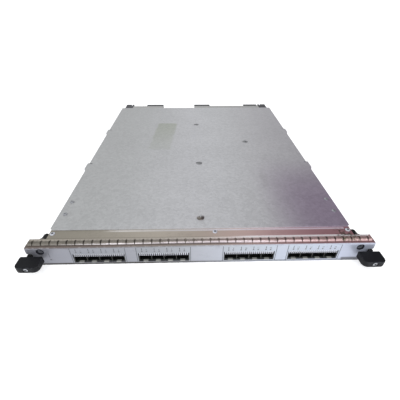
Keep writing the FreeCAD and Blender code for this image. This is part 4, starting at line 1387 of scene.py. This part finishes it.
@dataclass
class Faceplate(Part):
    """The faceplate, its finger gasket, its screws and its printed legends.

    Attributes:
        ink_rise: How far ink stands off the plate, in metres.
        line: The width of a printed line.
        figure: The height of a printed figure.
        panel_half: Half the distance between the two lines beside a group of ports.
        pillar: Where the flange's middle screw stands along X.
        edge_gaps: How far those lines end from the plate's foot and from its top.
        tick: The width of a tick over an indicator, and the levels of its foot and its top.
        tick_shift: Where the tick stands from the middle of its port.
        figure_shift: Where the figure stands from there.
        figure_foot: The level of a figure's foot.
        status_tick: The width, foot and top of the tick over the status lens.
        status_shift: Where it stands from the middle of the lens.
    """

    ink_rise: float = 0.03 * MM
    line: float = 0.65 * MM
    figure: float = 2.7 * MM
    panel_half: float = 30.75 * MM
    pillar: float = 15.7 * MM
    edge_gaps: tuple[float, float] = (2.2 * MM, 1.4 * MM)
    tick: Point = (0.6 * MM, 21.6 * MM, 25.2 * MM)
    tick_shift: float = -3.0 * MM
    figure_shift: float = 2.3 * MM
    figure_foot: float = 21.9 * MM
    status_tick: Point = (0.5 * MM, 12.2 * MM, 19.8 * MM)
    status_shift: float = -0.3 * MM

    def dress(self) -> None:
        """Zinc on the plate, spring metal on the gasket, plate on the screws."""
        centres = tuple(middle(f"sfp_cage_{number}").x for number in GROUPS)
        self.coat(FaceplateZinc("faceplate_zinc", (178, 180, 190), 0.42, 0.55, 0.00002,
                                *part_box("faceplate"), centres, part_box("top_cover")[0].y), "faceplate")
        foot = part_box("emi_finger_strip")[0]
        self.coat(FingerSpring("finger_spring", (168, 160, 154), 0.3, 0.6, 0.00002, (134, 130, 120),
                               (196, 158, 158), foot.y, foot.z), "emi_finger_strip")
        low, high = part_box("flange_screws")
        reach, row = (high.y - low.y) / 2, (high.y + low.y) / 2
        axes = tuple((x, row, 0.0) for x in (low.x + reach, self.pillar, high.x - reach))
        # the flange screws' recesses are painted dark as shade
        self.coat(RingedPlate("flange_screw_plate", (220, 223, 232), 0.32, 0.6, 0.00001, 0.35, (44, 46, 58),
                              axes, reach, (1.0, 1.0, 0.0)), "flange_screws")
        self.coat(ClearMoulding("status_clear", (70, 72, 80), 0.2), "status_lens")

    def stroke(self, width: float, foot: float, top: float) -> np.ndarray:
        """An upright printed stroke, as a solid strip on the front of the plate.

        Formula: a rectangle's outline, half a width to either side of x = 0, is drawn as a band half as
        wide as the rectangle, so that the band's inner edges meet along its middle.

        Args:
            width: The stroke's width in metres.
            foot: The level of its foot.
            top: The level of its top.

        Returns:
            The grid of points.
        """
        line = width / 2
        path = np.array([[-line / 2, foot + line / 2], [line / 2, foot + line / 2],
                         [line / 2, top - line / 2], [-line / 2, top - line / 2]])
        return flat_band(path, line * 0.98, self.ink_rise)

    def print_strokes(self, name: str, ink: bpy.types.Material, band: np.ndarray,
                      spots: np.ndarray | list[float], front: float) -> None:
        """Prints one stroke at every spot of a row, as one piece.

        Args:
            name: The piece's name.
            ink: The ink.
            band: The stroke.
            spots: Where it stands along X.
            front: The level of the print along Y.
        """
        places = np.array([[spot, front, 0.0] for spot in spots])
        self.settle(Surface(name, band, True, True, places).build(), ink, "faceplate_steel")

    def figure_mesh(self, number: int, place: Point) -> bpy.types.Object:
        """A plain printed number, made a mesh that faces -Y.

        Args:
            number: The number.
            place: The middle of its foot.

        Returns:
            The new piece, at the origin.
        """
        words = bpy.data.curves.new("figure", "FONT")
        words.body = str(number)
        words.size = self.figure
        words.align_x = "CENTER"
        words.extrude = self.ink_rise / 2
        shown = bpy.data.objects.new("figure", words)
        bpy.context.scene.collection.objects.link(shown)
        bpy.context.view_layer.update()
        mesh = bpy.data.meshes.new_from_object(shown.evaluated_get(bpy.context.evaluated_depsgraph_get()))
        bpy.data.objects.remove(shown)
        mesh.transform(Matrix.Translation(place) @ Matrix.Rotation(math.pi / 2, 4, "X"))
        return place_mesh(f"port_number_{number}", mesh)

    def print_legends(self) -> None:
        """Prints the lines beside each group, the port numbers and the ticks over the indicators."""
        ink = self.coat(PrintedInk("legend_ink", (78, 80, 86), 0.6))
        dark = self.coat(PrintedInk("figure_ink", (44, 46, 50), 0.6))
        low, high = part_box("faceplate")
        front = low.y - 0.01 * MM
        edge = self.stroke(self.line, low.z + self.edge_gaps[0], high.z - self.edge_gaps[1])
        tick = self.stroke(*self.tick)
        for group in GROUPS:
            centre = middle(f"sfp_cage_{group}").x
            self.print_strokes(f"legend_sides_{group}", ink, edge,
                               [centre - self.panel_half, centre + self.panel_half], front)
            ports = centre + PORTS
            self.print_strokes(f"legend_ticks_{group}", dark, tick, ports + self.tick_shift, front)
            for number, port in enumerate(ports, len(ports) * (group - 1) + 1):
                piece = self.figure_mesh(number, (port + self.figure_shift, front, self.figure_foot))
                self.settle(piece, dark, "faceplate_steel")
        self.print_strokes("status_line", ink, self.stroke(*self.status_tick),
                           [middle("status_lens").x + self.status_shift], front)


@dataclass
class PortGroup(Part):
    """One ganged cage with its host connectors, gasket and light pipe.

    Attributes:
        number: Which group, from the left.
        blades: Contacts in one row of a host connector.
        blade_pitch: The distance from contact to contact, in metres.
        blade: A contact's width, length and height.
        blade_rows: The levels of the two rows over the connector's foot.
        blade_depth: How far behind the connector's front the contacts' middles lie.
    """

    number: int
    blades: int = 10
    blade_pitch: float = 0.8 * MM
    blade: Point = (0.36 * MM, 4.2 * MM, 0.30 * MM)
    blade_rows: tuple[float, float] = (2.94 * MM, 3.76 * MM)
    blade_depth: float = 3.0 * MM

    def dress(self) -> None:
        """Plate, spring metal, black moulding and clear plastic."""
        cage = f"sfp_cage_{self.number}"
        self.coat(CagePlate(f"cage_plate_{self.number}", (176, 177, 172), 0.4, 0.5, 0.00002, *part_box(cage)),
                  cage)
        self.coat(CageSpring(f"small_spring_{self.number}", (212, 214, 220), 0.4, 0.2, 0.00001,
                             (186, 187, 192), (228, 231, 240), middle(cage).x),
                  f"cage_gasket_{self.number}")
        self.coat(MouldedPlastic(f"host_plastic_{self.number}", (20, 20, 21), 0.55),
                  f"host_connectors_{self.number}")
        self.coat(ClearMoulding(f"pipe_clear_{self.number}", (52, 53, 56), 0.35),
                  f"light_pipe_{self.number}")

    def add_latch_lips(self) -> None:
        """Curls the end of every latch tongue over the sill of its window.

        Formula: a strip's midline runs forward over the sill and turns down through a quarter circle in
        front of the plate; its two faces lie half a sheet to either side, and its ends are closed.
        """
        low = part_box(f"sfp_cage_{self.number}")[0]
        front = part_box("faceplate")[0].y
        turn = np.linspace(0, np.pi / 2, 7)
        bend, sheet, half = 0.3 * MM, 0.2 * MM, 2.9 * MM
        level = low.z + 0.17 * MM
        y = np.concatenate([[low.y + 0.02 * MM], front - 0.02 * MM - bend * np.sin(turn),
                            [front - 0.32 * MM]])
        z = np.concatenate([[level], level - bend * (1 - np.cos(turn)), [level - 0.42 * MM]])
        slope = np.gradient(np.stack([y, z], axis=1), axis=0)
        slope /= np.linalg.norm(slope, axis=1, keepdims=True)
        away = np.stack([-slope[:, 1], slope[:, 0]], axis=1) * sheet / 2
        taper = np.linspace(1.0, 0.86, len(y)) * half
        ring = np.stack([np.stack([side * taper, y + face * away[:, 0], z + face * away[:, 1]], axis=1)
                         for side, face in ((-1, 1), (1, 1), (1, -1), (-1, -1))], axis=1)
        ends = [np.broadcast_to(ring[index].mean(axis=0), ring[index].shape)[None] for index in (0, -1)]
        points = np.concatenate([ends[0], ring, ends[1]], axis=0)
        centre = middle(f"sfp_cage_{self.number}").x
        places = np.array([[centre + port, 0.0, 0.0] for port in PORTS])
        bright = self.coat(PlatedMetal(f"lip_plate_{self.number}", (172, 172, 168), 0.4, 0.3, 0.00001, 0.3))
        piece = Surface(f"latch_lips_{self.number}", points, places=places).build()
        self.settle(piece, bright, "cage_metal")

    def add_contacts(self, gold: bpy.types.Material) -> None:
        """Puts two rows of spring contacts in each host connector's slot.

        Args:
            gold: The contacts' finish.
        """
        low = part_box(f"host_connectors_{self.number}")[0]
        ports = middle(f"host_connectors_{self.number}").x + PORTS
        across = (np.arange(self.blades) - (self.blades - 1) / 2) * self.blade_pitch
        places = np.array([[port + step, low.y + self.blade_depth, low.z + row]
                           for port in ports for step in across for row in self.blade_rows])
        blade = moulded_block(self.blade, 6.0, 0.08 * MM)
        piece = Surface(f"host_contacts_{self.number}", blade, places=places).build()
        self.settle(piece, gold, "bright_fastener")


@dataclass
class Ejector(Part):
    """One ejector: its lever, its grip, the grip's screw and the pivot.

    Attributes:
        side: Which end of the card.
    """

    side: Side

    def dress(self) -> None:
        """Black coat on the lever, worn black moulding on the grip with paler edges that also paint its
        highlight, plate on the screw with painted shade in its recess.
        """
        word = self.side.word
        grip, lever, screw = f"ejector_grip_{word}", f"ejector_lever_{word}", f"grip_screw_{word}"
        # the grip's paler worn edges also paint the highlight along its top front edge
        self.coat(MouldedPlastic(f"grip_black_{word}", (21, 22, 26), 0.5, 0.0, 0.00004, 1300.0,
                                 *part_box(grip), 0.0014, (54, 56, 62), 0.16), grip)
        self.coat(MouldedPlastic(f"lever_black_{word}", (26, 25, 24), 0.45, 0.0, 0.00002, 900.0,
                                 *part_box(lever), 0.0012, (90, 86, 80), 0.2), lever)
        low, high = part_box(screw)
        centre = middle(screw)
        # the grip screw's recess is painted dark as shade
        self.coat(RingedPlate(f"grip_screw_plate_{word}", (178, 180, 186), 0.36, 0.7, 0.00001, 0.4,
                              (40, 40, 44), ((centre.x, 0.0, centre.z),), (high.x - low.x) / 2), screw)
        self.coat(PlatedMetal(f"pivot_plate_{word}", (96, 92, 88), 0.4, 0.9, 0.00001, 0.5),
                  f"pivot_pin_{word}")


@dataclass
class CaptiveScrew(Part):
    """One captive screw in its sleeve, with the thread on its end.

    Attributes:
        side: Which end of the card.
        pitch: The thread's pitch, in metres.
        turns: Whole turns of thread.
        crest: The radius of its crest, in metres.
        depth: How far its root lies under the crest.
    """

    side: Side
    pitch: float = 0.6 * MM
    turns: int = 15
    crest: float = 1.98 * MM
    depth: float = 0.24 * MM

    def dress(self) -> None:
        """A sleeve painted near black as the shade round the screw's head, and plate darkened as painted
        shade on the screw and on the thread that it gets here.
        """
        word = self.side.word
        screw = f"captive_screw_{word}"
        # the screw's grey is darkened to paint the shade on its recessed head
        plate = self.coat(PlatedMetal(f"captive_plate_{word}", (142, 144, 152), 0.3, 0.6, 0.00001, 0.25),
                          screw)
        # the sleeve is painted near black as the shade round the recessed head
        self.coat(PlatedMetal(f"sleeve_plate_{word}", (30, 32, 42), 0.45, 0.3, 0.00001, 0.3),
                  f"captive_sleeve_{word}")
        high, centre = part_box(screw)[1], middle(screw)
        start = (centre.x, high.y - self.pitch * (self.turns + 1), centre.z)
        ridge = thread_ridge(self.crest, self.depth, self.pitch, self.turns, start)
        piece = Surface(f"captive_thread_{word}", ridge).build()
        self.settle(piece, plate, "bright_fastener", Body(f"{word}_captive_screw"))


@dataclass
class RearEdge(Part):
    """The rear edge: backplane connectors and guide sockets.

    Attributes:
        rows: Contacts one above the other in each slot.
        row_pitch: The distance from row to row, in metres.
        slot_pitch: The distance from slot to slot.
        inset: Where the first slot lies from the connector's end.
        first_row: The level of the lowest row over the connector's foot.
        blade: A contact's width, length and height.
        blade_depth: How far before the connector's rear the contacts' middles lie.
    """

    rows: int = 6
    row_pitch: float = 2.7 * MM
    slot_pitch: float = 3.0 * MM
    inset: float = 2.8 * MM
    first_row: float = 4.0 * MM
    blade: Point = (0.5 * MM, 4.6 * MM, 1.1 * MM)
    blade_depth: float = 3.1 * MM

    def dress(self) -> None:
        """Dark mouldings and dark castings."""
        for number in CONNECTORS:
            node = f"backplane_connector_{number}"
            self.coat(MouldedPlastic(f"backplane_plastic_{number}", (58, 59, 62), 0.5, 0.0, 0.00003, 1100.0,
                                     *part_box(node), 0.0008, (104, 104, 106)), node)
        self.coat(PlatedMetal("guide_casting", (84, 84, 88), 0.5, 0.7, 0.00004, 0.5),
                  *(f"guide_block_{side.word}" for side in Side))

    def add_contacts(self, gold: bpy.types.Material) -> None:
        """Stands a column of gold blades in every slot of the backplane connectors.

        Args:
            gold: The blades' finish.
        """
        blade = moulded_block(self.blade, 5.0, 0.2 * MM)
        for number in CONNECTORS:
            low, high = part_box(f"backplane_connector_{number}")
            count = int((high.x - low.x - self.inset * 2) / self.slot_pitch) + 1
            slots = low.x + self.inset + np.arange(count) * self.slot_pitch
            levels = low.z + self.first_row + np.arange(self.rows) * self.row_pitch
            places = np.array([[x, high.y - self.blade_depth, z] for x in slots for z in levels])
            piece = Surface(f"backplane_blades_{number}", blade, places=places).build()
            self.settle(piece, gold, "bright_fastener")

    def add_bushings(self) -> None:
        """Lines the mouth of each guide bore with a bright chamfered bush."""
        plate = self.coat(PlatedMetal("bush_plate", (170, 170, 168), 0.3, 0.95, 0.00001, 0.3))
        profile = np.array([[3.62, -7.0], [4.7, -7.0], [4.7, 0.02], [4.5, 0.12], [4.25, 0.1],
                            [3.66, -0.9]]) * MM
        for side in Side:
            node = f"guide_block_{side.word}"
            bush = turned_profile(profile, (middle(node).x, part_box(node)[1].y, BORE_LEVEL))
            self.settle(Surface(f"guide_bush_{side.word}", bush, True).build(), plate, "bright_fastener")


@dataclass
class Circuit(Part):
    """The circuit board and what stands on it.

    Attributes:
        seed: The seed of the chips' scatter.
        tries: How many chips are tried.
        grid: The step of the places where a chip may stand, in metres.
        gap: How far a chip keeps from the pieces that stand there.
        strip: How far the scatter reaches forward from the board's rear edge.
    """

    seed: int = 7
    tries: int = 160
    grid: float = 4.2 * MM
    gap: float = 2.0 * MM
    strip: float = 21.0 * MM

    def dress(self) -> None:
        """Laminate, black packages, bare aluminium and plated screws."""
        self.coat(BoardLaminate("board_laminate", (24, 74, 46), 0.4), "main_board")
        self.coat(MouldedPlastic("package_resin", (30, 30, 32), 0.5, 0.0, 0.00002, 2200.0),
                  "packet_processor_1", "packet_processor_2", "memory_chips", "power_modules")
        self.coat(PlatedMetal("bare_aluminium", (196, 198, 202), 0.36, 0.95, 0.00002, 0.2),
                  "heat_sink_1", "heat_sink_2", "bulk_capacitors")
        self.coat(PlatedMetal("board_screw_plate", (178, 178, 180), 0.32, 0.95, 0.00001, 0.3),
                  "board_screws", "bracket_rivets")

    def add_chips(self) -> None:
        """Scatters small chips on the board along its rear edge, clear of the pieces that stand there."""
        low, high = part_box("main_board")
        rng = np.random.default_rng(self.seed)
        taken = [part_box(f"backplane_connector_{number}") for number in CONNECTORS]
        taken += [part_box(f"guide_block_{side.word}") for side in Side] + [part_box("rear_stiffener")]
        x = rng.uniform(low.x + 0.006, high.x - 0.006, self.tries)
        y = rng.uniform(high.y - self.strip, high.y - 0.002, self.tries)
        spots = np.unique(np.round(np.stack([x, y], axis=1) / self.grid) * self.grid, axis=0)
        x, y = spots.T
        clear = (y < high.y - 0.0012) & (np.abs(x) < high.x - 0.002)
        for least, most in taken:
            far = least.y + 0.0125 if most.x - least.x > 0.2 else most.y + self.gap
            clear &= ~((x > least.x - self.gap) & (x < most.x + self.gap)
                       & (y > least.y - self.gap) & (y < far))
        spots = np.concatenate([spots[clear], np.full((clear.sum(), 1), high.z)], axis=1)
        ceramic = PlatedMetal("chip_ceramic", (150, 128, 98), 0.5, 0.0, 0.00001, 0.3)
        resin = MouldedPlastic("chip_resin", (28, 28, 30), 0.5)
        for name, places, size, finish in (
                ("rear_capacitors", spots[::2], (2.0 * MM, 1.2 * MM, 0.9 * MM), ceramic),
                ("rear_resistors", spots[1::2], (1.6 * MM, 2.4 * MM, 0.6 * MM), resin)):
            chip = moulded_block(size, 7.0, 0.12 * MM, 12)
            self.settle(Surface(name, chip, places=places).build(), self.coat(finish), "connector_plastic")


# --- the studio -----------------------------------------------------------------------------------


@dataclass
class Lamp:
    """One soft lamp.

    Attributes:
        name: Its name.
        place: Where it hangs, in metres.
        aim: The point that it faces.
        size: The side of its square face.
        power: Its power in watts.
        colour: Its tint.
    """

    name: str
    place: Point
    aim: Point
    size: float
    power: float
    colour: Colour = (1.0, 1.0, 1.0)

    def hang(self) -> None:
        """Adds the lamp to the scene."""
        data = bpy.data.lights.new(self.name, "AREA")
        data.size = self.size
        data.energy = self.power
        data.color = self.colour
        lamp = bpy.data.objects.new(self.name, data)
        lamp.location = self.place
        lamp.rotation_euler = (Vector(self.aim) - Vector(self.place)).to_track_quat("-Z", "Y").to_euler()
        bpy.context.scene.collection.objects.link(lamp)
        LOG.info("lamp %s, %.0f W", self.name, self.power)


@dataclass
class Studio:
    """The floor, the soft light and the camera.

    Attributes:
        effects: The shared effects.
        floor_half: Half the floor's side, in metres.
        floor_level: How far the floor lies below the origin.
        eye: Where the camera stands, in metres.
        yaw: Its turn to the right, in radians.
        pitch: How far it looks down.
        roll: Its turn about its own line of sight.
        lens: Its focal length in millimetres.
    """

    effects: Effects
    floor_half: float = 6.0
    floor_level: float = -0.4 * MM
    eye: Point = (-9.15 * MM, -462.6 * MM, 255.5 * MM)
    yaw: float = 0.028
    pitch: float = 0.635
    roll: float = 0.005
    lens: float = 25.24

    def lay_floor(self) -> None:
        """Lays the floor: a plane grid of two parameters, x and y, just under the card."""
        reach = np.linspace(-self.floor_half, self.floor_half, 9)
        x, y = np.meshgrid(reach, reach, indexing="ij")
        points = np.stack([x, y, np.full_like(x, self.floor_level)], axis=2)
        floor = Surface("studio_floor", points, wrap_columns=False).build()
        if floor.data.polygons[0].normal.z < 0:
            floor.data.flip_normals()
        floor.data.materials.append(FloorPaint("floor_paint", (246, 246, 246), 0.9,
                                               glow=0.55).material(self.effects))

    def light(self) -> None:
        """Sets the sky and hangs the lamps: a white room, dimmer and cooler to the right rear."""
        world = bpy.data.worlds.new("white_room")
        bpy.context.scene.world = world
        world.use_nodes = True
        world.node_tree.nodes.clear()
        g = Graph(world.node_tree)
        x, y, z = g.split(g.node("ShaderNodeTexCoord", {}, "Generated"))
        turn = g.math("ARCTAN2", x, y)
        right = g.ease(turn, 0.04, 0.62) * g.fade(turn, 1.2, 2.2)
        sky = g.mix(right * 0.86, g.constant((0.93, 0.94, 0.95)), g.constant((0.20, 0.17, 0.20)))
        sky = g.mix(g.node("ShaderNodeLightPath", {}, "Is Camera Ray"),
                    g.tint(sky, g.ease(z, -0.1, 0.9, 0.92, 1.05)), g.constant((1.5, 1.5, 1.5)))
        room = g.node("ShaderNodeBackground", {"Color": sky, "Strength": 0.82})
        g.fill(g.add("ShaderNodeOutputWorld"), {"Surface": room})
        Lamp("key", (0.9, -1.9, 1.1), (0.0, -0.2, 0.0), 1.4, 14.0, (0.94, 0.97, 1.0)).hang()
        Lamp("fill", (-0.5, -1.7, 2.1), (0.0, 0.0, 0.0), 1.2, 8.0).hang()

    def set_camera(self) -> None:
        """Stands the camera: its axes are worked out from the yaw, the pitch and the roll."""
        cos_y, sin_y = math.cos(self.yaw), math.sin(self.yaw)
        cos_p, sin_p = math.cos(self.pitch), math.sin(self.pitch)
        ahead = Vector((sin_y * cos_p, cos_y * cos_p, -sin_p))
        right = Vector((cos_y, -sin_y, 0.0))
        up = right.cross(ahead)
        across = right * math.cos(self.roll) + up * math.sin(self.roll)
        above = up * math.cos(self.roll) - right * math.sin(self.roll)
        data = bpy.data.cameras.new("camera")
        data.sensor_width = 36.0
        data.lens = self.lens
        data.clip_start = 0.01
        camera = bpy.data.objects.new("camera", data)
        turn = Matrix((across, above, -ahead)).transposed().to_4x4()
        camera.matrix_world = Matrix.Translation(self.eye) @ turn
        bpy.context.scene.collection.objects.link(camera)
        bpy.context.scene.camera = camera

    def set_tones(self) -> None:
        """Plain display tones, with no film look."""
        view = bpy.context.scene.view_settings
        view.view_transform = "Standard"
        view.look = "None"
        view.exposure = 0.0


def main() -> None:
    """Builds the studio, dresses every piece and adds the new ones, in order."""
    logging.basicConfig(level=logging.INFO, format="%(name)s: %(message)s")
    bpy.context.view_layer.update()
    effects = Effects()
    studio = Studio(effects)
    studio.set_camera()
    studio.set_tones()
    studio.lay_floor()
    studio.light()
    gold = PlatedMetal("contact_gold", (204, 172, 96), 0.28, 1.0, 0.00001, 0.2).material(effects)
    Tray(effects).dress()
    Cover(effects).dress()
    plate = Faceplate(effects)
    plate.dress()
    plate.print_legends()
    for number in GROUPS:
        group = PortGroup(effects, number)
        group.dress()
        group.add_latch_lips()
        group.add_contacts(gold)
    for side in Side:
        Ejector(effects, side).dress()
        CaptiveScrew(effects, side).dress()
    rear = RearEdge(effects)
    rear.dress()
    rear.add_contacts(gold)
    rear.add_bushings()
    circuit = Circuit(effects)
    circuit.dress()
    circuit.add_chips()


if __name__ == "__main__":
    main()
